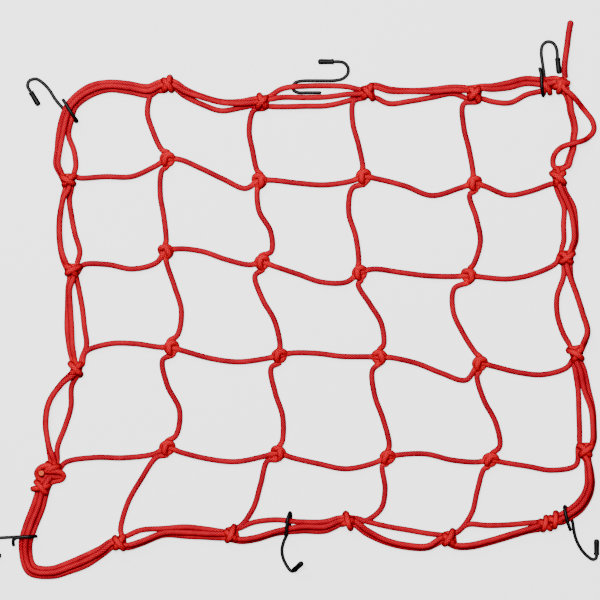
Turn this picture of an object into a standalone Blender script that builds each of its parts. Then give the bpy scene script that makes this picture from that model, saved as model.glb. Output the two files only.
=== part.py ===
"""Helmet net: a knotted net of red elastic cord with a border cord in two laps and six wire hooks.

The net lies flat and unstretched on the floor, which is at Z = 0. X runs to the right and Y away
from the viewer. The tables are in millimetres, and MM turns them into Blender's metres.
"""

import math

import bmesh
import bpy
import numpy as np
from mathutils import Vector

MM = 0.001

# Driving sizes in millimetres
CORD_DIAMETER = 4.0
WIRE_DIAMETER = 2.1
CLEARANCE = 0.3
CAP_DIAMETER = 4.3
CAP_LENGTH = 10.5
CAP_WALL = 0.55
CAP_END = 1.6
CAP_CROWN = 1.3
KNOT_HEIGHT = 8.2
KNOT_LENGTH = 13.0
KNOT_WIDTH = 12.0
BORDER_KNOT_HEIGHT = 12.0
BORDER_KNOT_LENGTH = 12.5
BORDER_KNOT_WIDTH = 15.0

# Sizes that follow from them
CORD_RADIUS = CORD_DIAMETER / 2
WIRE_RADIUS = WIRE_DIAMETER / 2
CAP_RADIUS = CAP_DIAMETER / 2
PASSING_GAP = CLEARANCE + 0.2
TUNNEL_CLEARANCE = CLEARANCE + 0.15
LAP_OFFSET = (CORD_DIAMETER + PASSING_GAP) / 2
EDGE_OFFSET = LAP_OFFSET + 2.8
BUNDLE_OFFSET = 3.4
KNOT_LIFT = 1.8
KNOT_HOLD = 4.6
ROW_LIFT = 0.17
COLUMN_LIFT = 0.38
LAP_SLACK = 0.4
OVER_HEIGHT = 9.0
KNOT_REACH = 16.0
KNOT_CORE = 5.0
KNOT_CLEAR = 9.0
RUN_PLACES = (0.125, 0.375, 0.625, 0.875)
LUMP_ROUNDNESS = 0.8
LUMP_RIDGE = 0.09
LUMP_FLAT_BELOW = -0.7

# How curves are cut into straight pieces
STEP = 1.0
LONGEST_PIECE = 24.0
CORD_TOLERANCE = 0.62
WIRE_TOLERANCE = 0.2
SETTLE = 4
CROSSING_STEPS = 12
LUMP_SIDES = 8
LUMP_RINGS = 5
CAP_SIDES = 8
FOUR_SIDES = 0
SIX_SIDES = 1
EIGHT_SIDES = 2

# Knots and bends, clockwise round the border from the top left, then the inner knots row by row
# name: x, y
STATIONS = {
    "T1": (-93, 171),
    "T2": (-22, 158),
    "T3": (57, 165),
    "T4": (137, 164),
    "TR": (202, 170),
    "R1": (201, 102),
    "R2": (207, 41),
    "R3": (214, -30),
    "R4": (221, -103),
    "right_bend": (221, -138),
    "BR": (193, -159),
    "B4": (118, -171),
    "B3": (42, -158),
    "B2": (-45, -168),
    "B1": (-129, -174),
    "left_bend": (-195, -193),
    "L4": (-180, -117),
    "L3": (-162, -40),
    "L2": (-165, 31),
    "L1": (-168, 98),
    "top_bend": (-164, 155),
    "K11": (-93, 114),
    "K12": (-24, 98),
    "K13": (54, 101),
    "K14": (137, 96),
    "K21": (-94, 45),
    "K22": (-22, 37),
    "K23": (51, 29),
    "K24": (133, 27),
    "K31": (-90, -27),
    "K32": (-9, -33),
    "K33": (66, -34),
    "K34": (141, -39),
    "K41": (-93, -102),
    "K42": (-10, -106),
    "K43": (72, -109),
    "K44": (149, -111),
}
BENDS = ("right_bend", "left_bend", "top_bend")

# Strands across the mesh: how far each run bows to the left of its straight line, at even steps
# knots in order: bows of each run at 1/8, 3/8, 5/8 and 7/8 of its length
STRANDS = {
    ("L1", "K11", "K12", "K13", "K14", "R1"): (
        (0, -3, -7, -3),
        (2, -1, -5, -8),
        (0, -3, -5, -3),
        (-1, -5, -11, -4),
        (-3, -11, -10, -6),
    ),
    ("L2", "K21", "K22", "K23", "K24", "R2"): (
        (2, -1, -8, -7),
        (3, 3, -1, -3),
        (-2, -6, -10, -8),
        (3, 1, -1, -1),
        (-3, -8, -8, -3),
    ),
    ("L3", "K31", "K32", "K33", "K34", "R3"): (
        (8, 11, 8, 2),
        (-2, -6, -7, -3),
        (2, 2, 0, 0),
        (0, -3, -9, -13),
        (-3, -10, -14, -11),
    ),
    ("L4", "K41", "K42", "K43", "K44", "R4"): (
        (2, 2, -2, -3),
        (-3, -7, -8, -3),
        (-3, -7, -10, -5),
        (2, 3, -1, -2),
        (-3, -8, -13, -11),
    ),
    ("T1", "K11", "K21", "K31", "K41", "B1"): (
        (-11, -15, -11, -4),
        (-4, -5, -2, 0),
        (0, 5, 9, 5),
        (-6, -2, 8, 6),
        (-4, -7, -8, -4),
    ),
    ("T2", "K12", "K22", "K32", "K42", "B2"): (
        (-6, -9, -6, -2),
        (-2, -1, 7, 7),
        (-7, -5, 1, 2),
        (-6, -3, 3, 3),
        (-4, 0, 4, 2),
    ),
    ("T3", "K13", "K23", "K33", "K43", "B3"): (
        (-10, -10, -5, -1),
        (-8, -10, -4, -1),
        (-3, 2, 7, 5),
        (-6, -6, -1, 2),
        (0, 11, 16, 10),
    ),
    ("T4", "K14", "K24", "K34", "K44", "B4"): (
        (-8, -8, -4, -1),
        (-3, 3, 7, 3),
        (-12, -15, -10, -2),
        (-3, 0, 7, 8),
        (-1, 2, 6, 3),
    ),
}

# The border clockwise: how far its three strands lie outside the straight line, at even steps
# from, to, outer lap, inner lap, the mesh's edge strand
BORDER = (
    ("T1", "T2", (-2, -5, -6, -3), (-4, -6, -7, -5), (-7, -11, -13, -8)),
    ("T2", "T3", (7.5, 8, 7, 5), (1, -0.5, -1.5, -1), (-6, -7, -8, -6)),
    ("T3", "T4", (2, 1, 2, 4), (0, 0, 0, 1.5), (-9, -7, -4, -1)),
    ("T4", "TR", (3, 4, 6, 4), (2, 3, 4, 1), (-8, -10, -5, -3)),
    (
        "TR",
        "R1",
        (5, 7, 8, 10, 11, 10, 10, 8, 6),
        (6, 13, 19, 24, 25, 19, 0, -5, -5),
        (1, 5, 7, 8, 9, 8, 8, 5, 1),
    ),
    ("R1", "R2", (7, 9, 9, 7), (3, 4, 4.5, 3), (-2, -1, -2, -3)),
    ("R2", "R3", (0, 4, 7, 10), (-1, 3, 6, 8), (-6, -11, -12, -9)),
    ("R3", "R4", (6, 8, 8, 7), (2, 4, 6, 5), (-3, -2, -2, -3)),
    ("R4", "right_bend", (4, 5, 5), (1, 2, 2), (-2, -1, -1)),
    ("right_bend", "BR", (6, 6, 5), (3, 3, 2), (0, 0, -1)),
    ("BR", "B4", (3, 5, 7, 8), (1, 3, 5, 6), (-3, -4, -6, -9)),
    ("B4", "B3", (9, 11, 10, 6), (7, 9, 8, 3), (-2, -2, -2, -3)),
    ("B3", "B2", (4.5, 2.5, 2, 5), (1, -1, 0, 3), (-2.5, -4.5, -8, -8)),
    ("B2", "B1", (0, -2, -4, 1), (-3, -5, -6, -1), (-6, -9, -9, -9)),
    ("B1", "left_bend", (8, 10, 12, 12), (5, 7, 9, 9), (2, 4, 6, 6)),
    ("left_bend", "L4", (11, 12, 10, 6), (8, 9, 7, 3), (5, 6, 4, 0)),
    ("L4", "L3", (6, 12, 13, 7), (4, 10, 12, 5), (-1, -3, -4, -1)),
    ("L3", "L2", (4, 5, 4, 3), (1, 1, 1, 1), (-9, -8, -7, -5)),
    ("L2", "L1", (7, 8, 7, 4), (5, 6, 6, 3), (-7, -4, -2, -1)),
    ("L1", "top_bend", (9, 9, 7, 6), (6, 7, 5, 4), (-6, -3, 1, 1)),
    ("top_bend", "T1", (10, 12, 8, 3), (7, 9, 5, 0), (4, 6, 2, -3)),
)

# The turns heaped on the big knot on the left: x and y from L4, length, width, height, turned by
BIG_KNOT = (
    (-4.5, -12.0, 15.0, 14.0, 11.5, 65),
    (-8.5, -3.5, 9.5, 8.5, 7.5, 20),
    (8.0, -5.0, 9.5, 8.5, 7.0, 70),
)

# The border cord's free end, from its knot out: x, y, z
TAIL = (
    (204.8, 174.6, 5.8),
    (204.3, 180.0, 6.2),
    (204.5, 186.0, 5.6),
    (205.5, 193.0, 4.0),
    (206.6, 200.0, 2.6),
    (207.6, 208.0, 2.0),
    (209.0, 216.0, 2.0),
)

# Hook wires, from the eye's free end over the border, round, under it and out to the tip: x, y, z
# The last two rows of each are the ends of the straight stretch in the cap
HOOKS = {
    "hook_1": (
        (-171.0, 159.0, 10.2),
        (-168.5, 155.0, 10.8),
        (-164.5, 148.5, 10.8),
        (-161.6, 144.4, 9.4),
        (-160.4, 142.6, 6.0),
        (-161.6, 142.4, 2.4),
        (-165.0, 145.4, 1.1),
        (-172.0, 153.0, 1.1),
        (-177.0, 159.0, 1.1),
        (-181.5, 166.0, 1.1),
        (-186.0, 171.0, 1.3),
        (-191.5, 174.3, 1.7),
        (-196.5, 172.8, 2.1),
        (-197.8, 169.0, 2.25),
        (-195.4, 164.6, 2.25),
        (-190.0, 155.6, 2.25),
    ),
    "hook_2": (
        (22.5, 164.0, 1.1),
        (12.0, 164.0, 1.1),
        (4.5, 164.2, 1.1),
        (1.6, 166.0, 1.1),
        (1.0, 168.8, 1.1),
        (3.0, 171.6, 1.1),
        (8.0, 172.8, 1.1),
        (21.0, 173.0, 1.1),
        (33.0, 173.2, 1.1),
        (38.5, 174.6, 1.2),
        (42.0, 178.0, 1.4),
        (42.4, 182.5, 1.8),
        (39.6, 186.2, 2.1),
        (35.5, 187.2, 2.25),
        (31.8, 187.2, 2.25),
        (21.3, 187.2, 2.25),
    ),
    "hook_3": (
        (185.0, 182.5, 10.2),
        (186.2, 178.0, 10.8),
        (187.0, 167.5, 10.8),
        (187.6, 163.4, 9.4),
        (188.2, 161.4, 6.0),
        (189.0, 162.6, 2.4),
        (189.5, 166.5, 1.1),
        (189.5, 176.0, 1.1),
        (188.3, 185.0, 1.1),
        (187.2, 194.0, 1.1),
        (188.2, 199.6, 1.4),
        (191.8, 202.2, 1.7),
        (196.2, 201.0, 2.1),
        (198.6, 196.6, 2.25),
        (199.3, 190.0, 2.25),
        (200.4, 179.6, 2.25),
    ),
    "hook_4": (
        (-207.4, -175.5, 9.8),
        (-207.4, -170.5, 11.2),
        (-203.0, -168.4, 11.5),
        (-196.0, -168.0, 11.3),
        (-192.4, -168.0, 9.2),
        (-191.0, -168.2, 6.0),
        (-192.8, -168.4, 2.4),
        (-197.0, -168.6, 1.1),
        (-207.0, -169.0, 1.1),
        (-218.0, -169.6, 1.1),
        (-227.0, -170.0, 1.2),
        (-232.4, -172.0, 1.5),
        (-234.2, -176.8, 1.9),
        (-232.0, -181.6, 2.2),
        (-229.4, -183.0, 2.25),
        (-218.9, -183.0, 2.25),
    ),
    "hook_5": (
        (-4.6, -168.0, 10.2),
        (-3.8, -163.5, 10.8),
        (-3.0, -155.0, 10.8),
        (-2.0, -152.0, 9.4),
        (-1.2, -150.4, 6.0),
        (-0.6, -151.6, 2.4),
        (-0.6, -155.5, 1.1),
        (-3.0, -166.0, 1.1),
        (-6.0, -173.0, 1.1),
        (-7.2, -179.0, 1.1),
        (-6.2, -185.0, 1.2),
        (-3.6, -190.4, 1.4),
        (-0.6, -194.2, 2.0),
        (1.0, -194.6, 2.8),
        (2.0, -193.6, 4.0),
        (7.2, -188.2, 11.4),
    ),
    "hook_6": (
        (208.6, -164.0, 10.2),
        (207.0, -160.0, 10.8),
        (204.6, -151.0, 10.8),
        (204.0, -147.6, 9.4),
        (204.4, -145.8, 6.0),
        (205.6, -146.6, 2.4),
        (207.2, -150.0, 1.1),
        (210.4, -157.0, 1.1),
        (211.8, -165.0, 1.1),
        (213.4, -171.0, 1.1),
        (217.0, -178.0, 1.3),
        (221.6, -183.2, 1.7),
        (225.8, -185.8, 2.1),
        (228.2, -184.8, 2.25),
        (228.6, -182.6, 2.25),
        (228.6, -172.1, 2.25),
    ),
}


def clear_scene():
    for old in list(bpy.data.objects):
        bpy.data.objects.remove(old, do_unlink=True)


def new_collection(name, hidden=False):
    made = bpy.data.collections.new(name)
    made.hide_render = hidden
    bpy.context.scene.collection.children.link(made)
    return made


def new_material(name, colour, roughness, metallic=0.0):
    made = bpy.data.materials.new(name)
    made.use_nodes = True
    shader = made.node_tree.nodes["Principled BSDF"]
    shader.inputs["Base Color"].default_value = (*colour, 1.0)
    shader.inputs["Roughness"].default_value = roughness
    shader.inputs["Metallic"].default_value = metallic
    made.diffuse_color = (*colour, 1.0)
    return made


def smooth_path(points, closed=False):
    """A smooth curve through the points, as a row of points about STEP apart."""
    points = np.asarray(points, float)
    if closed:
        padded = np.vstack([points[-1], points, points[0], points[1]])
    else:
        first = 2 * points[0] - points[1]
        last = 2 * points[-1] - points[-2]
        padded = np.vstack([first, points, last])
    made = []
    for p0, p1, p2, p3 in zip(padded, padded[1:], padded[2:], padded[3:]):
        gaps = [max(math.sqrt(np.linalg.norm(b - a)), 1e-6) for a, b in ((p0, p1), (p1, p2), (p2, p3))]
        slope_in = (p1 - p0) / gaps[0] - (p2 - p0) / (gaps[0] + gaps[1]) + (p2 - p1) / gaps[1]
        slope_out = (p2 - p1) / gaps[1] - (p3 - p1) / (gaps[1] + gaps[2]) + (p3 - p2) / gaps[2]
        slope_in *= gaps[1]
        slope_out *= gaps[1]
        count = max(2, int(np.linalg.norm(p2 - p1) / STEP))
        for t in np.arange(count) / count:
            made.append(
                (2 * t**3 - 3 * t**2 + 1) * p1
                + (t**3 - 2 * t**2 + t) * slope_in
                + (3 * t**2 - 2 * t**3) * p2
                + (t**3 - t**2) * slope_out
            )
    if not closed:
        made.append(points[-1])
    return np.array(made)


def height_over(path, others, other_radius, own_radius):
    """The least height at which a tube on this path clears the other tube, point by point."""
    reach = own_radius + other_radius + PASSING_GAP
    apart = np.linalg.norm(path[:, None, :2] - others[None, :, :2], axis=2)
    climb = np.sqrt(np.maximum(reach**2 - apart**2, 0.0))
    needed = np.where(apart < reach, others[None, :, 2] + climb, -1.0)
    return needed.max(axis=1)


def settle(heights, closed):
    """Rounds a row of heights off without taking it below itself anywhere."""
    count = len(heights)
    places = np.arange(count)[:, None] + np.arange(-SETTLE, SETTLE + 1)[None, :]
    places = places % count if closed else places.clip(0, count - 1)
    highest = heights[places].max(axis=1)
    return highest[places].mean(axis=1)


def thinned(path, tolerance, closed=False):
    """The fewest of the path's points that keep its shape within the tolerance."""
    path = np.asarray(path)
    if closed:
        path = np.vstack([path, path[:1]])
    keep = {0, len(path) - 1}
    spans = [(0, len(path) - 1)]
    while spans:
        first, last = spans.pop()
        if last - first < 2:
            continue
        start, along = path[first], path[last] - path[first]
        length = np.linalg.norm(along)
        inside = path[first + 1 : last] - start
        if length < 1e-9:
            off = np.linalg.norm(inside, axis=1)
        else:
            off = np.linalg.norm(inside - np.outer(inside @ along, along) / length**2, axis=1)
        middle = first + 1 + int(off.argmax())
        if off.max() < tolerance:
            if length < LONGEST_PIECE:
                continue
            middle = (first + last) // 2
        keep.add(middle)
        spans += [(first, middle), (middle, last)]
    kept = path[sorted(keep)]
    return kept[:-1] if closed else kept


def direction(start, end):
    along = np.subtract(STATIONS[end], STATIONS[start]).astype(float)
    return along / np.linalg.norm(along)


def left_of(along):
    return np.array([-along[1], along[0]])


def run_points(start, end, bows, places):
    """Points along the run between two stations, pushed to its left by the bows."""
    first, last = np.array(STATIONS[start], float), np.array(STATIONS[end], float)
    side = left_of(direction(start, end))
    return [first + (last - first) * place + side * bow for place, bow in zip(places, bows)]


def even_places(count):
    return [(k + 1) / (count + 1) for k in range(count)]


def station_offset(name, strand):
    if name in BENDS:
        return (BUNDLE_OFFSET, 0.0, -BUNDLE_OFFSET)[strand]
    return (LAP_OFFSET, -LAP_OFFSET, -EDGE_OFFSET)[strand]


def border_legs(strand):
    """For each leg of the border, this strand's points at its first station and those along it."""
    legs = []
    for k, leg in enumerate(BORDER):
        start, end, bows = leg[0], leg[1], leg[2 + strand]
        before = BORDER[k - 1]
        along = direction(before[0], before[1]) + direction(start, end)
        along /= np.linalg.norm(along)
        centre = np.array(STATIONS[start], float) + left_of(along) * station_offset(start, strand)
        hold = along * KNOT_HOLD
        station = [centre] if start in BENDS else [centre - hold, centre + hold]
        legs.append((station, run_points(start, end, bows, even_places(len(bows)))))
    return legs


def lap_path():
    """The border cord's two laps in plan, and how many of its points belong to the first."""
    corner = [leg[0] for leg in BORDER].index("TR")
    outer, inner = border_legs(0), border_legs(1)
    outer = outer[corner:] + outer[:corner]
    inner = inner[corner:] + inner[:corner]
    first_lap = outer[0][0][1:] + outer[0][1]
    for station, along in outer[1:]:
        first_lap += station + along
    crossing = [outer[0][0][0], inner[0][0][1]]
    second_lap = list(inner[0][1])
    for station, along in inner[1:]:
        second_lap += station + along
    end = [inner[0][0][0]]
    return first_lap + crossing + second_lap + end, len(first_lap) + 1


def past_ends(path):
    """The same path, run on a little beyond both its ends."""
    before, after = path[0] - path[1], path[-1] - path[-2]
    first = path[0] + before / np.linalg.norm(before) * CORD_RADIUS / 2
    last = path[-1] + after / np.linalg.norm(after) * CORD_RADIUS / 2
    return np.vstack([first, path, last])


def off_knots(path):
    """How far each point of the path lies from the nearest knot, seen from above."""
    places = np.array([xy for name, xy in STATIONS.items() if name not in BENDS], float)
    return np.linalg.norm(path[:, None, :2] - places[None], axis=2).min(axis=1)


def knot_rise(path):
    """How far a cord is lifted off the floor by the knots that it runs through."""
    share = np.clip((KNOT_REACH - off_knots(path)) / (KNOT_REACH - KNOT_CORE), 0.0, 1.0)
    return KNOT_LIFT * share * share * (3 - 2 * share)


def raised(plan, obstacles, closed=False, rise=0.0):
    """The plan path with heights: on the floor, lifted in its knots, and over each obstacle."""
    heights = np.full(len(plan), CORD_RADIUS) + rise
    for others, radius in obstacles:
        if len(others):
            heights = np.maximum(heights, height_over(plan, others, radius, CORD_RADIUS))
    return np.column_stack([plan, settle(heights, closed)])


def hook_path(rows, cords):
    """The wire's centre line: over the border, round it and under it, then straight in the cap."""
    bend = smooth_path(rows[:-1])
    bend[:, 2] = np.maximum(bend[:, 2], WIRE_RADIUS)
    over = bend[:, 2] > OVER_HEIGHT
    if over.any():
        lift = height_over(bend[over], cords, CORD_RADIUS + LAP_SLACK, WIRE_RADIUS) - bend[over, 2]
        bend[over, 2] += max(lift.max(), 0.0)
    return np.vstack([bend, rows[-1]])


def low_wire():
    """Every hook's wire where it lies on the floor, so under the border."""
    paths = np.vstack([smooth_path(rows) for rows in HOOKS.values()])
    return paths[paths[:, 2] < CORD_DIAMETER]


def tube(name, path, radius, sides, collection, material, closed=False, turn=0.0):
    """A curve object with a round section, or with flat sides where it has only four."""
    data = bpy.data.curves.new(name, "CURVE")
    data.dimensions = "3D"
    data.twist_mode = "Z_UP" if radius >= CORD_RADIUS else "MINIMUM"
    data.bevel_depth = radius * MM
    data.bevel_resolution = sides
    data.use_fill_caps = not closed
    spline = data.splines.new("POLY")
    spline.points.add(len(path) - 1)
    for point, place in zip(spline.points, path):
        point.co = (*(float(v) * MM for v in place), 1.0)
        point.tilt = turn
    spline.use_cyclic_u = closed
    data.materials.append(material)
    made = bpy.data.objects.new(name, data)
    collection.objects.link(made)
    return made


def evaluated_mesh(made):
    bpy.context.view_layer.update()
    evaluated = made.evaluated_get(bpy.context.evaluated_depsgraph_get())
    return bpy.data.meshes.new_from_object(evaluated)


def drop_crumbs(mesh):
    """Keeps the mesh's largest connected piece: the tunnels can shave a crumb off a knot."""
    shape = bmesh.new()
    shape.from_mesh(mesh)
    waiting = set(shape.verts)
    bodies = []
    while waiting:
        body = [waiting.pop()]
        for vert in body:
            for edge in vert.link_edges:
                other = edge.other_vert(vert)
                if other in waiting:
                    waiting.remove(other)
                    body.append(other)
        bodies.append(body)
    bodies.sort(key=len)
    for body in bodies[:-1]:
        bmesh.ops.delete(shape, geom=body, context="VERTS")
    shape.to_mesh(mesh)
    shape.free()


def as_mesh(curve, collection):
    """A mesh object in place of the curve object, with its caps welded."""
    mesh = evaluated_mesh(curve)
    shape = bmesh.new()
    shape.from_mesh(mesh)
    bmesh.ops.remove_doubles(shape, verts=shape.verts, dist=0.000001)
    shape.to_mesh(mesh)
    shape.free()
    name = curve.name
    made = bpy.data.objects.new(name, mesh)
    made.matrix_world = curve.matrix_world
    bpy.data.objects.remove(curve, do_unlink=True)
    made.name = name
    collection.objects.link(made)
    return made


def lump(name, centre, length, width, height, turn, collection, material):
    """One ridged knot: a squarish ball with four raised corners and a flat underside on the floor."""
    shape = bmesh.new()
    bmesh.ops.create_uvsphere(shape, u_segments=LUMP_SIDES, v_segments=LUMP_RINGS, radius=1.0)
    middle = height / 2
    for vert in shape.verts:
        around = math.atan2(vert.co.y, vert.co.x)
        flat = math.hypot(vert.co.x, vert.co.y) ** LUMP_ROUNDNESS
        ridge = 1.0 - LUMP_RIDGE * math.cos(4 * around)
        x = flat * ridge * math.cos(around) * length / 2
        y = flat * ridge * math.sin(around) * width / 2
        rise = math.copysign(abs(vert.co.z) ** LUMP_ROUNDNESS, vert.co.z)
        z = middle * (1.0 + rise) if rise > LUMP_FLAT_BELOW else 0.0
        turned = (
            centre[0] + x * math.cos(turn) - y * math.sin(turn),
            centre[1] + x * math.sin(turn) + y * math.cos(turn),
            z,
        )
        vert.co = Vector(turned) * MM
    mesh = bpy.data.meshes.new(name)
    shape.to_mesh(mesh)
    shape.free()
    mesh.materials.append(material)
    made = bpy.data.objects.new(name, mesh)
    collection.objects.link(made)
    return made


def knot_turns():
    """How each knot is turned: along the border, or along its strand across the mesh."""
    turns = {}
    for knots in STRANDS:
        for before, name, after in zip(knots, knots[1:], knots[2:]):
            along = direction(before, after)
            turns.setdefault(name, math.atan2(along[1], along[0]))
    for k, leg in enumerate(BORDER):
        before = BORDER[k - 1]
        along = direction(before[0], before[1]) + direction(leg[0], leg[1])
        turns[leg[0]] = math.atan2(along[1], along[0])
    return turns


def build_net(edge, cutters, collection, pieces, material):
    """The mesh as one solid: its edge strand, eight strands across it and all its knots."""
    base = as_mesh(
        tube("net", thinned(edge, CORD_TOLERANCE, True), CORD_RADIUS, SIX_SIDES, collection, material, True),
        collection,
    )
    for knots, rows in STRANDS.items():
        points = [np.array(STATIONS[knots[0]], float)]
        for start, end, bows in zip(knots, knots[1:], rows):
            points += run_points(start, end, bows, RUN_PLACES)
            points.append(np.array(STATIONS[end], float))
        path = raised(smooth_path(points), [], rise=ROW_LIFT if knots[0][0] == "L" else COLUMN_LIFT)
        name = "strand_" + knots[0]
        as_mesh(
            tube(name, thinned(path, CORD_TOLERANCE), CORD_RADIUS, SIX_SIDES, pieces, material), pieces
        )
    turns = knot_turns()
    for name, place in STATIONS.items():
        if name in BENDS:
            continue
        inner = name.startswith("K")
        length = KNOT_LENGTH if inner else BORDER_KNOT_LENGTH
        width = KNOT_WIDTH if inner else BORDER_KNOT_WIDTH
        height = KNOT_HEIGHT if inner else BORDER_KNOT_HEIGHT
        lump("knot_" + name, place, length, width, height, turns[name], pieces, material)
    for k, (x, y, length, width, height, turn) in enumerate(BIG_KNOT):
        place = (STATIONS["L4"][0] + x, STATIONS["L4"][1] + y)
        lump(f"big_knot_{k}", place, length, width, height, math.radians(turn), pieces, material)
    join = base.modifiers.new("join", "BOOLEAN")
    join.operation = "UNION"
    join.operand_type = "COLLECTION"
    join.collection = pieces
    join.solver = "EXACT"
    tunnel = base.modifiers.new("tunnel", "BOOLEAN")
    tunnel.operation = "DIFFERENCE"
    tunnel.operand_type = "COLLECTION"
    tunnel.collection = cutters
    tunnel.solver = "EXACT"
    mesh = evaluated_mesh(base)
    base.modifiers.clear()
    base.data = mesh
    drop_crumbs(mesh)
    return base


def build_cap(name, mouth, end, collection, material):
    """A turned plastic sleeve, closed at its outer end, over the last stretch of the wire."""
    bore = CAP_RADIUS - CAP_WALL
    top = CAP_LENGTH + CAP_END
    profile = (
        (0.0, top),
        (CAP_RADIUS - CAP_CROWN / 2, top - CAP_CROWN / 4),
        (CAP_RADIUS, top - CAP_CROWN),
        (CAP_RADIUS, 0.0),
        (bore, 0.0),
        (bore, CAP_LENGTH + CLEARANCE),
        (0.0, CAP_LENGTH + CLEARANCE),
    )
    mesh = bpy.data.meshes.new(name)
    points = [(radius * MM, 0.0, height * MM) for radius, height in profile]
    mesh.from_pydata(points, [(k, k + 1) for k in range(len(points) - 1)], [])
    mesh.materials.append(material)
    made = bpy.data.objects.new(name, mesh)
    collection.objects.link(made)
    turn = made.modifiers.new("turn", "SCREW")
    turn.axis = "Z"
    turn.angle = 2 * math.pi
    turn.steps = turn.render_steps = CAP_SIDES
    turn.use_merge_vertices = True
    turn.merge_threshold = 0.00001
    mouth, end = Vector(mouth), Vector(end)
    made.location = mouth * MM
    made.rotation_euler = (end - mouth).to_track_quat("Z", "Y").to_euler()
    return made


def build_hooks(cords, collection, wire_material, cap_material):
    for name, rows in HOOKS.items():
        path = thinned(hook_path(rows, cords), WIRE_TOLERANCE)
        tube(name, path, WIRE_RADIUS, SIX_SIDES, collection, wire_material)
        cap_name = name.replace("hook_", "hook_tip_")
        build_cap(cap_name, rows[-2], rows[-1], collection, cap_material)


def main():
    clear_scene()
    parts = new_collection("helmet_net")
    pieces = new_collection("net_pieces", hidden=True)
    cutters = new_collection("cutters", hidden=True)
    red = new_material("red_elastic_cord", (0.66, 0.01, 0.012), 0.62)
    black_wire = new_material("black_coated_wire", (0.012, 0.012, 0.013), 0.42, 0.2)
    black_cap = new_material("black_plastic_cap", (0.016, 0.016, 0.017), 0.5)

    wire = low_wire()
    edge_points = [point for station, along in border_legs(2) for point in station + along]
    edge = raised(smooth_path(edge_points, closed=True), [(wire, WIRE_RADIUS)], closed=True)
    free_edge = edge[off_knots(edge) > KNOT_CLEAR]

    lap_points, first_count = lap_path()
    laps = smooth_path(lap_points)
    split = int(np.linalg.norm(laps - lap_points[first_count - 1], axis=1).argmin())
    below = [(wire, WIRE_RADIUS), (free_edge, CORD_RADIUS + LAP_SLACK)]
    outer = raised(laps[:split], below, rise=knot_rise(laps[:split]))
    below.append((outer[:-CROSSING_STEPS], CORD_RADIUS))
    inner = raised(laps[split:], below, rise=knot_rise(laps[split:]))
    both_laps = np.vstack([outer, inner])
    both_laps[:, 2] = settle(both_laps[:, 2], False)
    cord = thinned(both_laps, CORD_TOLERANCE)
    middle = int(np.linalg.norm(cord - inner[0], axis=1).argmin())

    tube("border_cord", cord, CORD_RADIUS, SIX_SIDES, parts, red)
    tail = thinned(smooth_path(TAIL), WIRE_TOLERANCE)
    tube("border_tail", tail, CORD_RADIUS, EIGHT_SIDES, parts, red)
    fat = (CORD_RADIUS + TUNNEL_CLEARANCE) * math.sqrt(2)
    for name, path in (("cut_outer", cord[: middle + 2]), ("cut_inner", cord[middle:]), ("cut_tail", tail)):
        cutter = tube(name, past_ends(path), fat, FOUR_SIDES, cutters, red, turn=math.radians(45))
        cutter = as_mesh(cutter, cutters)
        cutter.hide_render = True
        cutter.display_type = "WIRE"
    build_net(edge, cutters, parts, pieces, red)
    for piece in pieces.objects:
        piece.hide_render = True
        piece.display_type = "WIRE"
    build_hooks(np.vstack([both_laps, edge]), parts, black_wire, black_cap)


main()
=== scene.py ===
"""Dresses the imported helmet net: braided red cords, tied knots and black wire hooks, seen from above."""

import logging
import math
from collections.abc import Iterable, Sequence
from dataclasses import dataclass, field
from enum import Enum

import bmesh
import bpy
import numpy as np
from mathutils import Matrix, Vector


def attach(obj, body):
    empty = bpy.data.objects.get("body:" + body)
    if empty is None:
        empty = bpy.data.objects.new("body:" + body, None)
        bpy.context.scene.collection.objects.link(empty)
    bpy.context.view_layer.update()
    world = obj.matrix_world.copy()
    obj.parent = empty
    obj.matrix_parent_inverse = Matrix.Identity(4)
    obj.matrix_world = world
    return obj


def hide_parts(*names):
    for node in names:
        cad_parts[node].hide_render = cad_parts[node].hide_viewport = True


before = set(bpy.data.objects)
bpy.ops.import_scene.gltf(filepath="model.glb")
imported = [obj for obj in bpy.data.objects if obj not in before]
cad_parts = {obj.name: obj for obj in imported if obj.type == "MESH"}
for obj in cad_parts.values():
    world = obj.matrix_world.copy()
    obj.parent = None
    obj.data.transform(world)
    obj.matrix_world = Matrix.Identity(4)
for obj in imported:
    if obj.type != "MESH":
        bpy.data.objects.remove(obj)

log = logging.getLogger("helmet_net")
ROOT_BODY: str = "root"
MM: float = 0.001
WHITE: tuple[float, float, float, float] = (1.0, 1.0, 1.0, 1.0)
Row = tuple[float, ...]
Rows = tuple[Row, ...]
Tree = bpy.types.NodeTree
Socket = bpy.types.NodeSocket

# The photograph: its pixels across, one pixel's size in millimetres and where in it the net's origin is
PICTURE_PX: int = 600
PIXEL_MM: float = 0.75
ORIGIN_PX: tuple[float, float] = (291.5, 311.5)

# The solids' own sizes, and how far the cover and the coat stand proud of them, in millimetres
CORD_RADIUS: float = 2.0
WIRE_RADIUS: float = 1.05
CAP_RADIUS: float = 2.15
COVER_PROUD: float = 0.18
COAT_PROUD: float = 0.25
PASSING_GAP: float = 0.5
LAP_OFFSET: float = CORD_RADIUS + PASSING_GAP / 2
EDGE_OFFSET: float = LAP_OFFSET + 2.8
BUNDLE_OFFSETS: dict[str, float] = {"right_bend": 2.4, "left_bend": 3.2, "top_bend": 3.0}
KNOT_LIFT: float = 1.8
KNOT_HOLD: float = 4.6
ROW_LIFT: float = 0.17
ROW_KNOT_HEIGHT: float = 3.7
COLUMN_LIFT: float = 0.38
LAP_SLACK: float = 0.4
OVER_HEIGHT: float = 9.0

# How finely paths are drawn, and over how many points their heights are rounded off
STEP: float = 1.0
FINE_STEP: float = 0.6
WIRE_STEP: float = 0.4
SETTLE: int = 4
LAP_ROUNDING: int = 3

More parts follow.
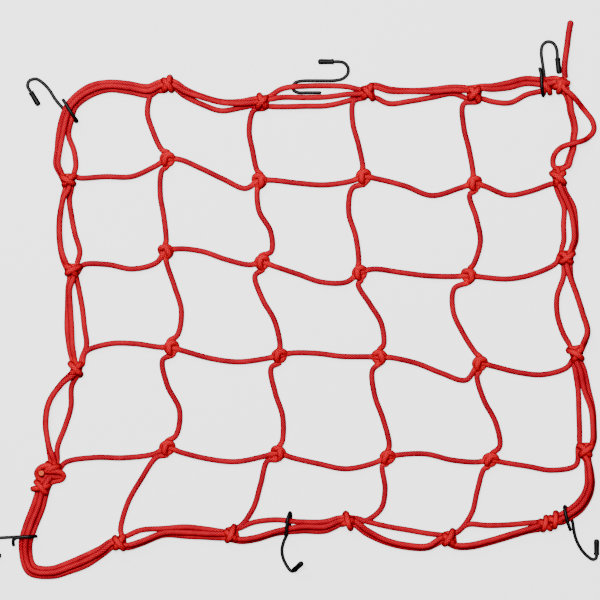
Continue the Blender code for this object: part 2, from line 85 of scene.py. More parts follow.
# The routes, in millimetres. They follow the solids' routes, with the border's strands drawn closer
# together or further apart where the photograph shows it.
# Knots and bends, clockwise round the border from the top left, then the inner knots row by row
# name: x, y
STATIONS: dict[str, tuple[float, float]] = {
    "T1": (-93, 171), "T2": (-22, 158), "T3": (57, 165), "T4": (137, 164), "TR": (202, 170),
    "R1": (201, 102), "R2": (207, 41), "R3": (214, -30), "R4": (221, -103), "right_bend": (221, -138),
    "BR": (193, -159), "B4": (118, -171), "B3": (42, -158), "B2": (-45, -168), "B1": (-129, -174),
    "left_bend": (-195, -193), "L4": (-180, -117), "L3": (-162, -40), "L2": (-165, 31), "L1": (-168, 98),
    "top_bend": (-164, 155), "K11": (-93, 114), "K12": (-24, 98), "K13": (54, 101), "K14": (137, 96),
    "K21": (-94, 45), "K22": (-22, 37), "K23": (51, 29), "K24": (133, 27), "K31": (-90, -27),
    "K32": (-9, -33), "K33": (66, -34), "K34": (141, -39), "K41": (-93, -102), "K42": (-10, -106),
    "K43": (72, -109), "K44": (149, -111),
}
BENDS: tuple[str, ...] = ("right_bend", "left_bend", "top_bend")

# Strands across the mesh: how far each run bows to the left of its straight line, at even steps
# knots in order: bows of each run at these shares of its length
BOW_PLACES: Row = (0.125, 0.375, 0.625, 0.875)
STRANDS: dict[tuple[str, ...], Rows] = {
    ("L1", "K11", "K12", "K13", "K14", "R1"): (
        (0, -3, -7, -3), (2, -1, -5, -8), (0, -3, -5, -3), (-1, -5, -11, -4), (-3, -11, -10, -6),
    ),
    ("L2", "K21", "K22", "K23", "K24", "R2"): (
        (2, -1, -8, -7), (3, 3, -1, -3), (-2, -6, -10, -8), (3, 1, -1, -1), (-3, -8, -8, -3),
    ),
    ("L3", "K31", "K32", "K33", "K34", "R3"): (
        (8, 11, 8, 2), (-2, -6, -7, -3), (2, 2, 0, 0), (0, -3, -9, -13), (-3, -10, -14, -11),
    ),
    ("L4", "K41", "K42", "K43", "K44", "R4"): (
        (2, 2, -2, -3), (-3, -7, -8, -3), (-3, -7, -10, -5), (2, 3, -1, -2), (-3, -8, -13, -11),
    ),
    ("T1", "K11", "K21", "K31", "K41", "B1"): (
        (-11, -15, -11, -4), (-4, -5, -2, 0), (0, 5, 9, 5), (-6, -2, 8, 6), (-4, -7, -8, -4),
    ),
    ("T2", "K12", "K22", "K32", "K42", "B2"): (
        (-6, -9, -6, -2), (-2, -1, 7, 7), (-7, -5, 1, 2), (-6, -3, 3, 3), (-4, 0, 4, 2),
    ),
    ("T3", "K13", "K23", "K33", "K43", "B3"): (
        (-10, -10, -5, -1), (-8, -10, -4, -1), (-3, 2, 7, 5), (-6, -6, -1, 2), (0, 11, 16, 10),
    ),
    ("T4", "K14", "K24", "K34", "K44", "B4"): (
        (-8, -8, -4, -1), (-3, 3, 7, 3), (-12, -15, -10, -2), (-3, 0, 7, 8), (-1, 2, 6, 3),
    ),
}

# The border clockwise: how far its three strands lie outside the straight line, at even steps
# from, to, outer lap, inner lap, the mesh's edge strand
BORDER: tuple[tuple[str, str, Row, Row, Row], ...] = (
    ("T1", "T2", (-2, -5, -6, -3), (-4, -6, -7, -5), (-7, -11, -13, -8)),
    ("T2", "T3", (7.5, 8, 7, 5), (1, -0.5, -1.5, -1), (-6, -7, -8, -6)),
    ("T3", "T4", (2, 1, 2, 4), (0, 0, 0, 1.5), (-9, -7, -4, -1)),
    ("T4", "TR", (3.8, 5.2, 7, 4.8), (1, 1.2, 3.1, 0.8), (-8, -10, -5, -3)),
    (
        "TR", "R1", (5, 7, 8, 10, 11, 10, 10, 8, 6),
        (6, 13, 19, 24, 25, 19, 0, -5, -5), (3, 5.8, 7, 9, 10, 9.2, 9, 6.8, 4),
    ),
    ("R1", "R2", (2.8, 8, 8.4, 7.4), (0.2, 4.6, 6.2, 5.4), (-2.6, 0.8, -0.8, -1.8)),
    ("R2", "R3", (0.8, 4, 7, 9.5), (-0.4, 3.4, 6.4, 8.6), (-4.6, -10.8, -12, -9)),
    ("R3", "R4", (4, 5.8, 7.7, 7.2), (0.8, 2.4, 6, 5.8), (-2.8, -2, -2.9, -3.8)),
    ("R4", "right_bend", (1.6, 3.4, 4.2), (0.6, 1.8, 2.4), (-0.4, 0.4, 0.4)),
    ("right_bend", "BR", (6, 6, 5), (3, 3, 2), (0, 0, -1)),
    ("BR", "B4", (3, 5, 7, 8), (1, 3, 5, 6), (-3, -4, -6, -9)),
    ("B4", "B3", (9, 11, 10, 6), (7, 9, 8, 3), (-2, -2, -2, -3)),
    ("B3", "B2", (4.5, 2.5, 2, 5), (1, -1, 0, 3), (-2.5, -4.5, -8, -8)),
    ("B2", "B1", (0, -2, -4, 1), (-3, -5, -6, -1), (-6, -9, -9, -9)),
    ("B1", "left_bend", (4.2, 8.6, 9.8, 9.6), (1.6, 5, 6.4, 6.6), (-1, 1.4, 3.2, 3.6)),
    ("left_bend", "L4", (10.6, 10.4, 7.8, 5.6), (7.4, 6.8, 4, 2.6), (4.2, 3.2, 0.4, -0.6)),
    ("L4", "L3", (6, 12, 13, 7), (5.2, 11.3, 12.4, 6.2), (-1, -3, -4, -1)),
    ("L3", "L2", (4, 5, 4, 3), (1.2, 1.4, 1.6, 1.4), (-9, -8, -7, -5)),
    ("L2", "L1", (7, 8, 7, 4), (6, 7.2, 6.2, 3.2), (-7, -4, -2, -1)),
    ("L1", "top_bend", (9.4, 9.2, 9, 7.3), (7.2, 7, 5.5, 3.9), (-5.6, -3.4, 1.4, -0.2)),
    ("top_bend", "T1", (10.6, 10.6, 6.4, 0.8), (7, 7.6, 3.1, -2.6), (3.6, 4.8, -0.2, -6)),
)

# The border cord's free end, from its knot out: x, y, z
TAIL: Rows = (
    (204.8, 174.6, 5.8), (204.3, 180, 6.2), (204.5, 186, 5.6), (205.5, 193, 4), (206.6, 200, 2.6),
    (207.6, 208, 2), (209, 216, 2),
)

# Hook wires, from the eye's free end over the border, round, under it and out to the tip: x, y, z
# The last two rows of each are the ends of the straight stretch in the cap
HOOKS: dict[str, Rows] = {
    "hook_1": (
        (-171, 159, 10.2), (-168.5, 155, 10.8), (-164.5, 148.5, 10.8), (-161.6, 144.4, 9.4),
        (-160.4, 142.6, 6), (-161.6, 142.4, 2.4), (-165, 145.4, 1.1), (-172, 153, 1.1), (-177, 159, 1.1),
        (-181.5, 166, 1.1), (-186, 171, 1.3), (-191.5, 174.3, 1.7), (-196.5, 172.8, 2.1),
        (-197.8, 169, 2.25), (-195.4, 164.6, 2.25), (-190, 155.6, 2.25),
    ),
    "hook_2": (
        (22.5, 164, 1.1), (12, 164, 1.1), (4.5, 164.2, 1.1), (1.6, 166, 1.1), (1, 168.8, 1.1),
        (3, 171.6, 1.1), (8, 172.8, 1.1), (21, 173, 1.1), (33, 173.2, 1.1), (38.5, 174.6, 1.2),
        (42, 178, 1.4), (42.4, 182.5, 1.8), (39.6, 186.2, 2.1), (35.5, 187.2, 2.25), (31.8, 187.2, 2.25),
        (21.3, 187.2, 2.25),
    ),
    "hook_3": (
        (185, 182.5, 10.2), (186.2, 178, 10.8), (187, 167.5, 10.8), (187.6, 163.4, 9.4), (188.2, 161.4, 6),
        (189, 162.6, 2.4), (189.5, 166.5, 1.1), (189.5, 176, 1.1), (188.3, 185, 1.1), (187.2, 194, 1.1),
        (188.2, 199.6, 1.4), (191.8, 202.2, 1.7), (196.2, 201, 2.1), (198.6, 196.6, 2.25),
        (199.3, 190, 2.25), (200.4, 179.6, 2.25),
    ),
    "hook_4": (
        (-207.4, -175.5, 9.8), (-207.4, -170.5, 11.2), (-203, -168.4, 11.5), (-196, -168, 11.3),
        (-192.4, -168, 9.2), (-191, -168.2, 6), (-192.8, -168.4, 2.4), (-197, -168.6, 1.1),
        (-207, -169, 1.1), (-218, -169.6, 1.1), (-227, -170, 1.2), (-232.4, -172, 1.5),
        (-234.2, -176.8, 1.9), (-232, -181.6, 2.2), (-229.4, -183, 2.25), (-218.9, -183, 2.25),
    ),
    "hook_5": (
        (-4.6, -168, 10.2), (-3.8, -163.5, 10.8), (-3, -155, 10.8), (-2, -152, 9.4), (-1.2, -150.4, 6),
        (-0.6, -151.6, 2.4), (-0.6, -155.5, 1.1), (-3, -166, 1.1), (-6, -173, 1.1), (-7.2, -179, 1.1),
        (-6.2, -185, 1.2), (-3.6, -190.4, 1.4), (-0.6, -194.2, 2), (1, -194.6, 2.8), (2, -193.6, 4),
        (7.2, -188.2, 11.4),
    ),
    "hook_6": (
        (208.6, -164, 10.2), (207, -160, 10.8), (204.6, -151, 10.8), (204, -147.6, 9.4), (204.4, -145.8, 6),
        (205.6, -146.6, 2.4), (207.2, -150, 1.1), (210.4, -157, 1.1), (211.8, -165, 1.1),
        (213.4, -171, 1.1), (217, -178, 1.3), (221.6, -183.2, 1.7), (225.8, -185.8, 2.1),
        (228.2, -184.8, 2.25), (228.6, -182.6, 2.25), (228.6, -172.1, 2.25),
    ),
}

# The dipped cap from its rolled lip to its domed end: how far along, share of its radius
CAP_PROFILE: Rows = (
    (0, 0.62), (0.05, 0.86), (0.3, 1), (0.9, 1.03), (1.5, 0.98), (2.2, 0.93), (4.5, 0.94),
    (7.5, 0.97), (9.6, 1), (10.6, 0.97), (11.3, 0.86), (11.8, 0.66), (12.05, 0.4), (12.1, 0.2),
)

# How a mesh strand ties itself round the strand that it crosses: to the right, up the strand, height
MESH_KNOT: Rows = (
    (-0.4, 5, 4.6), (-1.4, 1.2, 6.5), (-2.1, -2.5, 5.6), (-0.7, -4.3, 3.2), (2.3, -3.2, 2.1),
    (3.8, -0.4, 2.1), (3.8, 2.6, 4), (1.2, 3.8, 6.2), (-2.6, 2.8, 5.2), (-4.1, -0.1, 3.2), (-2.6, -3, 2.1),
    (0.6, -5.4, 2.4),
)
MESH_LEAN: float = 14.0

# How a strand's end ties itself round the border's three cords: along the border, outwards, height
BORDER_KNOT: Rows = (
    (-2.2, -5.4, 3.6), (-1.6, -3, 7.4), (0.8, 0.2, 8.4), (2.2, 3, 5.8), (2.7, 2.8, 2.4), (2.7, -0.8, 2),
    (2.6, -4.2, 2), (2.3, -5.6, 4.4), (1.2, -3.2, 8.4), (-0.8, 0.2, 9.6), (-2.3, 3, 6), (-2.6, 2.6, 2.4),
    (-2.7, -1, 2), (-2.6, -4.2, 2.2), (-2.8, -5, 4.6), (-2.2, -2.4, 7),
)

# Half a border knot's length, how far its turns differ from the table, and how little a lean shears it
KNOT_HALF: float = 2.7
KNOT_JITTER: float = 0.25
LEAN_SHEAR: float = 0.5
SEED_BASE: int = 100

# The cut end of a cord: how far past the path its last rings are, and its last four rings' shares
CUT_RINGS: Row = (0.2, 0.3)
CUT_SHARES: Row = (1.03, 1.08, 1.0, 0.72)
# How tightly the cut ends in the knots are pulled, which is how far they are painted brighter as a highlight
CUT_PULL: float = 0.8

# A rounded end: how deep it is as a share of the radius, and its smallest ring
END_DEPTH: float = 0.8
END_LEAST: float = 0.25


class Side(Enum):
    """Which strand of the three round the border."""

    OUTER = 0
    INNER = 1
    EDGE = 2


@dataclass(frozen=True)
class KnotLook:
    """How one border knot differs from the table of turns.

    Attributes:
        lean: How far it is turned on the border, in degrees.
        taper: How much wider its far end is, and narrower its near end.
        length: How many times longer it is along the border.
        slid: How far along the border it has slid, in millimetres.
        girth: How many times wider it is across the border.
    """

    lean: float = 0.0
    taper: float = 0.0
    length: float = 1.0
    slid: float = 0.0
    girth: float = 1.0


# How the border's knots look in the photograph. Those that aren't here look like the table
KNOT_LOOKS: dict[str, KnotLook] = {
    "T1": KnotLook(14, 0.16),
    "T2": KnotLook(-10, -0.1, 1.15),
    "T3": KnotLook(8, 0.24, 1.2),
    "T4": KnotLook(-8, 0.2, 1.3),
    "R1": KnotLook(6, -0.14, 1.6, 2.0, 0.92),
    "R2": KnotLook(-12, -0.14, 1.3, 1.0),
    "R3": KnotLook(4, -0.24, 1.6, 2.0, 0.98),
    "R4": KnotLook(-6, -0.26, 1.35, 1.0, 0.96),
    "B4": KnotLook(10, -0.24, 1.3),
    "B3": KnotLook(-30, 0.08, 1.3),
    "B2": KnotLook(10, -0.2, 1.3),
    "B1": KnotLook(-8, -0.12, 1.2),
    "L3": KnotLook(8, 0.1, 1.6, -3.4, 0.92),
    "L2": KnotLook(-6, 0.2, 1.15),
    "L1": KnotLook(8, 0.22, 1.15),
}

# How far apart the cords still are where they go into a knot and where they come out, in millimetres
KNOT_MOUTHS: dict[str, tuple[float, float]] = {
    "T2": (0, 1.6), "T3": (0, 3), "T4": (2.2, 3), "R2": (2.6, 0), "R3": (4, 0), "R4": (4, 0),
    "B4": (3.6, 0), "B2": (3, 0), "B1": (2.4, 0), "L3": (0, 1.6), "L2": (0, 3.2), "L1": (0, 3.6),
}

# Each strand's share of that: the outer lap's, the inner lap's and the edge strand's
MOUTH_SHARES: tuple[float, float, float] = (1.0, 1.4, -0.3)

# The lower part of the big knot on the left stands out past the cords
BIG_KNOT_FOOT: KnotLook = KnotLook(-14, 0.0, 1.2, 0.0, 1.25)
BIG_KNOT_FOOT_AT: tuple[float, float] = (-188.6, -131.2)

# The bottom right knot is a double one, of two that touch
DOUBLE_KNOT: tuple[KnotLook, ...] = (KnotLook(12, 0.0, 1.25, -5.4), KnotLook(-8, -0.16, 1.1, 3.2))

# How far the top right corner's second knot is from its first, and how far the corner's crossing reaches
CORNER_GAP: float = 11.5
CORNER_REACH: float = 14.0

# What stands out of the big knot on the left and of the corner's: x, y, z
KNOT_LOOPS: tuple[Rows, ...] = (
    (
        (-178.5, -116, 7.6), (-183.5, -115, 8.2), (-188.2, -117, 7.2), (-190.7, -120.8, 5.4),
        (-189.4, -124.6, 4.2), (-185.2, -126.6, 3.4), (-181, -127.2, 3.2),
    ),
    (
        (-185, -119, 7.4), (-180.8, -119.2, 8.8), (-175.8, -119.6, 8.2), (-171.9, -120.6, 6.8),
        (-170.4, -123.2, 5.4), (-172.2, -125.8, 4.2), (-177, -127.2, 3.4), (-182, -128.6, 3.2),
    ),
    ((199.6, 168.6, 6.2), (202.6, 170.2, 6.8), (204.4, 172.8, 6.2), (204.8, 175.2, 5.8)),
    ((-186, -117.4, 2.4), (-187.2, -121.4, 2.2), (-186.4, -125.4, 2.3), (-183, -128, 2.4)),
)

# Cord ends cut off in those knots, each from inside the knot to its cut: x, y, z
KNOT_CUTS: tuple[Rows, ...] = (
    ((-183, -121.8, 2.6), (-186, -121.2, 3.2), (-187, -121, 5.2), (-187, -120.8, 8)),
    ((-184, -123, 4.6), (-178.6, -123.5, 5), (-172.6, -123.6, 4.4)),
    ((199, 171.6, 8), (203.4, 171.4, 8.6), (207.4, 170.8, 6.2)),
)


def linear(hex_colour: str) -> tuple[float, float, float, float]:
    """Turns an sRGB hex colour into Blender's linear RGBA.

    Args:
        hex_colour: Six hex digits, such as "C8102E".

    Returns:
        The linear colour with full alpha.
    """
    parts = [int(hex_colour[k : k + 2], 16) / 255 for k in (0, 2, 4)]
    red, green, blue = (p / 12.92 if p <= 0.04045 else ((p + 0.055) / 1.055) ** 2.4 for p in parts)
    return (red, green, blue, 1.0)


def add_node(tree: Tree, kind: str, links: dict | None = None, **settings: object) -> bpy.types.Node:
    """Adds a node, sets its properties and wires or fills its inputs.

    Args:
        tree: The node tree to add to.
        kind: The node's type identifier.
        links: Input name or index to an output socket or a plain value.
        settings: Properties of the node itself.

    Returns:
        The new node.
    """
    node = tree.nodes.new(kind)
    for name, value in settings.items():
        setattr(node, name, value)
    fill(tree, node, links or {})
    return node


def fill(tree: Tree, node: bpy.types.Node, links: dict) -> None:
    """Wires or fills a node's inputs.

    Args:
        tree: The node's tree.
        node: The node.
        links: Input name or index to an output socket or a plain value.
    """
    for key, value in links.items():
        socket = node.inputs[key]
        if isinstance(value, Socket):
            tree.links.new(value, socket)
        else:
            socket.default_value = value


def put(name: str, data: bpy.types.ID) -> bpy.types.Object:
    """Makes an object of this data at the scene's origin.

    Args:
        name: The object's name.
        data: Its mesh, light or camera.

    Returns:
        The new object.
    """
    made = bpy.data.objects.new(name, data)
    bpy.context.scene.collection.objects.link(made)
    return made


def smooth_path(points: Sequence, closed: bool = False, step: float = STEP) -> np.ndarray:
    """A smooth curve through the points.

    Args:
        points: Points of two or three numbers each.
        closed: Whether the curve runs back to its first point.
        step: About how far apart the new points are.

    Returns:
        One row for each new point.
    """
    points = np.asarray(points, float)
    if closed:
        padded = np.vstack([points[-1], points, points[0], points[1]])
    else:
        padded = np.vstack([2 * points[0] - points[1], points, 2 * points[-1] - points[-2]])
    made = []
    for p0, p1, p2, p3 in zip(padded, padded[1:], padded[2:], padded[3:]):
        gaps = [max(math.sqrt(np.linalg.norm(b - a)), 1e-6) for a, b in ((p0, p1), (p1, p2), (p2, p3))]
        slope_in = (p1 - p0) / gaps[0] - (p2 - p0) / (gaps[0] + gaps[1]) + (p2 - p1) / gaps[1]
        slope_out = (p2 - p1) / gaps[1] - (p3 - p1) / (gaps[1] + gaps[2]) + (p3 - p2) / gaps[2]
        slope_in *= gaps[1]
        slope_out *= gaps[1]
        count = max(2, int(np.linalg.norm(p2 - p1) / step))
        t = (np.arange(count) / count)[:, None]
        near = (2 * t**3 - 3 * t**2 + 1) * p1 + (t**3 - 2 * t**2 + t) * slope_in
        made.append(near + (3 * t**2 - 2 * t**3) * p2 + (t**3 - t**2) * slope_out)
    if not closed:
        made.append(points[-1:])
    return np.vstack(made)


def gone_along(path: np.ndarray) -> np.ndarray:
    """How far along the path each of its points is."""
    return np.concatenate([[0.0], np.cumsum(np.linalg.norm(np.diff(path, axis=0), axis=1))])


def spaced(path: np.ndarray, step: float, closed: bool = False) -> np.ndarray:
    """The same path with its points an even distance apart.

    Args:
        path: Points of the path.
        step: The distance wanted, in millimetres.
        closed: Whether the path runs back to its start.

    Returns:
        The evenly spaced points.
    """
    if closed:
        path = np.vstack([path, path[:1]])
    lengths = gone_along(path)
    places = np.linspace(0.0, lengths[-1], max(2, int(round(lengths[-1] / step)) + 1))
    even = np.column_stack([np.interp(places, lengths, path[:, k]) for k in range(path.shape[1])])
    return even[:-1] if closed else even


def height_over(path: np.ndarray, others: np.ndarray, other_radius: float, own_radius: float) -> np.ndarray:
    """The least height at which a tube on this path clears the other tube.

    Args:
        path: Points of the path, seen from above.
        others: Points of the other tube's centre line.
        other_radius: The other tube's radius.
        own_radius: This tube's radius.

    Returns:
        A height for each point of the path, or -1 where nothing is under it.
    """
    reach = own_radius + other_radius + PASSING_GAP
    apart = np.linalg.norm(path[:, None, :2] - others[None, :, :2], axis=2)
    climb = np.sqrt(np.maximum(reach**2 - apart**2, 0.0))
    return np.where(apart < reach, others[None, :, 2] + climb, -1.0).max(axis=1)


def settle(heights: np.ndarray, closed: bool) -> np.ndarray:
    """Rounds a row of heights off without taking it below itself anywhere.

    Args:
        heights: One height for each point.
        closed: Whether the row runs back to its start.

    Returns:
        The smoothed heights.
    """
    count = len(heights)
    places = np.arange(count)[:, None] + np.arange(-SETTLE, SETTLE + 1)[None, :]
    places = places % count if closed else places.clip(0, count - 1)
    highest = heights[places].max(axis=1)
    return highest[places].mean(axis=1)


def at(name: str) -> np.ndarray:
    """A station's place, seen from above."""
    return np.array(STATIONS[name], float)


def direction(start: str, end: str) -> np.ndarray:
    """The unit direction from one station to another."""
    along = at(end) - at(start)
    return along / np.linalg.norm(along)


def heading(before: str, name: str, after: str) -> np.ndarray:
    """The unit direction in which a cord goes through a station, halfway between its two runs."""
    along = direction(before, name) + direction(name, after)
    return along / np.linalg.norm(along)


def left_of(along: np.ndarray) -> np.ndarray:
    """The direction to the left of another, seen from above."""
    return np.array([-along[1], along[0]])


def run_points(start: str, end: str, bows: Row, places: Iterable[float]) -> list[np.ndarray]:
    """Points along the run between two stations, pushed to its left by the bows.

    Args:
        start: The first station.
        end: The last station.
        bows: How far each point is pushed, in millimetres.
        places: Each point's share of the way.

    Returns:
        The points, seen from above.
    """
    first, last = at(start), at(end)
    side = left_of(direction(start, end))
    return [first + (last - first) * place + side * bow for place, bow in zip(places, bows)]


def off_knots(path: np.ndarray) -> np.ndarray:
    """How far each point of the path lies from the nearest knot, seen from above."""
    places = np.array([xy for name, xy in STATIONS.items() if name not in BENDS], float)
    return np.linalg.norm(path[:, None, :2] - places[None], axis=2).min(axis=1)


def near_knots(path: np.ndarray, reach: tuple[float, float]) -> np.ndarray:
    """How much a knot has a hold on each point of the path.

    Args:
        path: Points of the path.
        reach: How far from a knot its hold starts, and over how many millimetres it comes in.

    Returns:
        A share from 0 to 1 for each point, with both its ends smoothed.
    """
    share = np.clip((reach[0] - off_knots(path)) / reach[1], 0.0, 1.0)
    return share * share * (3 - 2 * share)


def turned(x: float, y: float, degrees: float, shear: float = 1.0) -> tuple[float, float]:
    """Turns a flat place round the origin.

    Args:
        x: Its first measure.
        y: Its second measure.
        degrees: How far it is turned.
        shear: How much of the second measure goes into the first.

    Returns:
        Both measures afterwards.
    """
    cosine, sine = math.cos(math.radians(degrees)), math.sin(math.radians(degrees))
    return x * cosine - y * sine * shear, x * sine + y * cosine


@dataclass(frozen=True)
class Route:
    """One cord's centre line in millimetres, and how it changes on its way.

    Attributes:
        path: Points of three numbers each.
        thick: Each point's share of the full radius.
        pull: How tightly the cover is pulled at each point, from 0 to 1, which is how far it is painted
            brighter as a highlight.
        closed: Whether the cord runs back to its start.
        core: Where the rubber inside shows, from 0 to 1 at each point.
    """

    path: np.ndarray
    thick: np.ndarray
    pull: np.ndarray
    closed: bool = False
    core: np.ndarray | None = None


@dataclass
class NetPlan:
    """Works out where every cord of the net lies.

    Attributes:
        squeeze: How far the border's strands draw together in their knots.
        knot_heights: The height of each border strand's centre inside a knot.
        held: Where a knot holds a border strand at that height, as a reach of near_knots.
        lifted: Where a knot lifts the strand off the floor, likewise.
        pulled: Where a knot pulls the cover tight, likewise.
        ring_step: How far apart a cord's rings are, in millimetres.
        thinning: How much thinner a stretched cord is inside a knot.
        draw_in: How much tighter a mesh knot is than its table of turns.
        slack: How much thicker the unstretched cord of the mesh is inside its knots.
        lap_end: How many points at the first lap's end the second lap doesn't climb over.
    """

    squeeze: float = 0.72
    knot_heights: tuple[float, float, float] = (3.4, 4.8, 2.6)
    held: tuple[float, float] = (9.0, 5.0)
    lifted: tuple[float, float] = (16.0, 11.0)
    pulled: tuple[float, float] = (9.5, 4.5)
    ring_step: float = 1.25
    thinning: float = 0.12
    draw_in: float = 0.96
    slack: float = 0.08
    lap_end: int = 12
    wire: np.ndarray = field(init=False)
    edge: np.ndarray = field(init=False)
    laps: np.ndarray = field(init=False)

    def __post_init__(self) -> None:
        """Lays the edge strand first, then both laps over it."""
        wires = np.vstack([smooth_path(rows) for rows in HOOKS.values()])
        self.wire = wires[wires[:, 2] < 2 * CORD_RADIUS]
        edge_points = [p for station, along in self.border_legs(Side.EDGE) for p in station + along]
        plan = smooth_path(edge_points, closed=True)
        self.edge = self.drawn_in(self.raised(plan, [(self.wire, WIRE_RADIUS)], True), Side.EDGE)
        self.laps = self.lay_laps()

    def station_offset(self, name: str, side: Side) -> float:
        """How far outside a station's centre one of the three strands runs.

        Args:
            name: The station.
            side: Which of the three strands.

        Returns:
            The offset in millimetres.
        """
        if name in BENDS:
            return (BUNDLE_OFFSETS[name], 0.0, -BUNDLE_OFFSETS[name])[side.value]
        return (LAP_OFFSET, -LAP_OFFSET, -EDGE_OFFSET)[side.value] * self.squeeze

    def border_legs(self, side: Side) -> list[tuple[list[np.ndarray], list[np.ndarray]]]:
        """One strand's points round the border.

        Args:
            side: Which of the three strands.

        Returns:
            For each leg, the points at its first station and those along it.
        """
        legs = []
        for k, leg in enumerate(BORDER):
            start, end, bows = leg[0], leg[1], leg[2 + side.value]
            along = heading(BORDER[k - 1][0], start, end)
            centre = at(start) + left_of(along) * self.station_offset(start, side)
            gapes = KNOT_MOUTHS.get(start, (0, 0))
            mouths = [left_of(along) * MOUTH_SHARES[side.value] * gape for gape in gapes]
            hold = along * KNOT_HOLD
            station = [centre] if start in BENDS else [centre - hold + mouths[0], centre + hold + mouths[1]]
            places = [(j + 1) / (len(bows) + 1) for j in range(len(bows))]
            legs.append((station, run_points(start, end, bows, places)))
        return legs

    def raised(
        self, plan: np.ndarray, obstacles: list, closed: bool, rise: np.ndarray | float = 0.0
    ) -> np.ndarray:
        """Gives a plan path its heights.

        Args:
            plan: Points seen from above.
            obstacles: Pairs of another tube's points and its radius.
            closed: Whether the path runs back to its start.
            rise: How far the path is lifted off the floor to start with.

        Returns:
            The path with its heights, on the floor or over what lies there.
        """
        heights = np.full(len(plan), CORD_RADIUS) + rise
        for others, radius in obstacles:
            heights = np.maximum(heights, height_over(plan, others, radius, CORD_RADIUS))
        return np.column_stack([plan, settle(heights, closed)])

    def drawn_in(self, path: np.ndarray, side: Side) -> np.ndarray:
        """Brings a border strand to its squeezed height where a knot holds it.

        Args:
            path: The strand's centre line.
            side: Which of the three strands it is.

        Returns:
            The path with its new heights.
        """
        share = near_knots(path, self.held)
        made = path.copy()
        made[:, 2] = path[:, 2] * (1 - share) + self.knot_heights[side.value] * share
        return made

    def lay_laps(self) -> np.ndarray:
        """Lays the border cord's two laps as one path, from the top right corner round twice.

        Returns:
            The path of its centre line.
        """
        corner = [leg[0] for leg in BORDER].index("TR")
        outer, inner = self.border_legs(Side.OUTER), self.border_legs(Side.INNER)
        outer = outer[corner:] + outer[:corner]
        inner = inner[corner:] + inner[:corner]
        first_lap = outer[0][0][1:] + outer[0][1] + [p for spot, run in outer[1:] for p in spot + run]
        second_lap = inner[0][1] + [p for spot, run in inner[1:] for p in spot + run]
        points = first_lap + [outer[0][0][0], inner[0][0][1]] + second_lap + [inner[0][0][0]]
        plan = smooth_path(points)
        split = int(np.linalg.norm(plan - points[len(first_lap)], axis=1).argmin())
        free_edge = self.edge[off_knots(self.edge) > self.held[0]]
        below = [(self.wire, WIRE_RADIUS), (free_edge, CORD_RADIUS)]
        lower = self.raised(plan[:split], below, False, KNOT_LIFT * near_knots(plan[:split], self.lifted))
        below.append((lower[: -self.lap_end], CORD_RADIUS - LAP_SLACK))
        upper = self.raised(plan[split:], below, False, KNOT_LIFT * near_knots(plan[split:], self.lifted))
        away = np.linalg.norm(upper[:, :2] - at("TR"), axis=1) > CORNER_REACH
        upper = np.where(away[:, None], self.drawn_in(upper, Side.INNER), upper)
        made = np.vstack([self.drawn_in(lower, Side.OUTER), upper])
        window = 2 * LAP_ROUNDING + 1
        even = np.pad(made[:, 2], LAP_ROUNDING, mode="edge")
        made[:, 2] = np.convolve(even, np.full(window, 1 / window), mode="valid")
        return made

    def route(self, path: np.ndarray, closed: bool = False, stretch: float = 0.0) -> Route:
        """Spaces a path evenly and works out where its cover is pulled tight.

        Args:
            path: The centre line.
            closed: Whether it runs back to its start.
            stretch: How tight it is between the knots. Stretched cord is thinner inside them.

        Returns:
            The finished route.
        """
        even = spaced(path, self.ring_step, closed)
        tight = near_knots(even, self.pulled)
        thick = 1 + (-self.thinning if stretch else self.slack) * tight
        return Route(even, thick, np.maximum(tight, stretch), closed)

    def strands(self, first: str) -> list[Route]:
        """The mesh's strands that start on one side of the net.

        Args:
            first: "L" for those that run across, straight through the knots, "T" for those that run
                down and tie them.

        Returns:
            Their routes.
        """
        chosen = [(knots, runs) for knots, runs in STRANDS.items() if knots[0][0] == first]
        return [self.route(self.strand(knots, runs)) for knots, runs in chosen]

    def strand(self, knots: tuple[str, ...], runs: Rows) -> np.ndarray:
        """One mesh strand with its knots, from border to border.

        Args:
            knots: The stations along the strand.
            runs: The bows of each run between them.

        Returns:
            The smooth path of its centre line.
        """
        down = knots[0][0] == "T"
        lift = CORD_RADIUS + (COLUMN_LIFT if down else ROW_LIFT)
        points = self.border_turns(knots[0])[::-1]
        for k, (start, end, bows) in enumerate(zip(knots, knots[1:], runs)):
            points += [(*p, lift) for p in run_points(start, end, bows, BOW_PLACES)]
            if end[0] != "K":
                continue
            if down:
                points += self.mesh_turns(end, heading(start, end, knots[k + 2]))
            else:
                points.append((*at(end), ROW_KNOT_HEIGHT))
        points += self.border_turns(knots[-1])
        return smooth_path(points, step=FINE_STEP)

    def mesh_turns(self, name: str, along: np.ndarray) -> list[Row]:
        """The turns of one mesh knot, each knot a little different.

        Args:
            name: The knot's station.
            along: The strand's own direction through it.

        Returns:
            Points of the tied part, in their order along the strand.
        """
        draw = np.random.default_rng(int(name[1:]))
        lean = draw.uniform(-MESH_LEAN, MESH_LEAN)
        mirror = -1.0 if (int(name[1]) + int(name[2])) % 3 == 0 else 1.0
        made = []
        for x, y, z in MESH_KNOT:
            x = (x * mirror + draw.uniform(-KNOT_JITTER, KNOT_JITTER)) * self.draw_in
            y = (y + draw.uniform(-KNOT_JITTER, KNOT_JITTER)) * self.draw_in
            x, y = turned(x, y, lean)
            made.append((*(at(name) + left_of(along) * x - along * y), z))
        return made

    def border_turns(self, name: str) -> list[Row]:
        """The turns of a strand's end round the border, from the mesh outwards.

        Args:
            name: The knot's station.

        Returns:
            Points of the tied part.
        """
        k = [leg[0] for leg in BORDER].index(name)
        along = heading(BORDER[k - 1][0], name, BORDER[k][1])
        return self.turns_at(at(name), along, k, KNOT_LOOKS.get(name, KnotLook()))

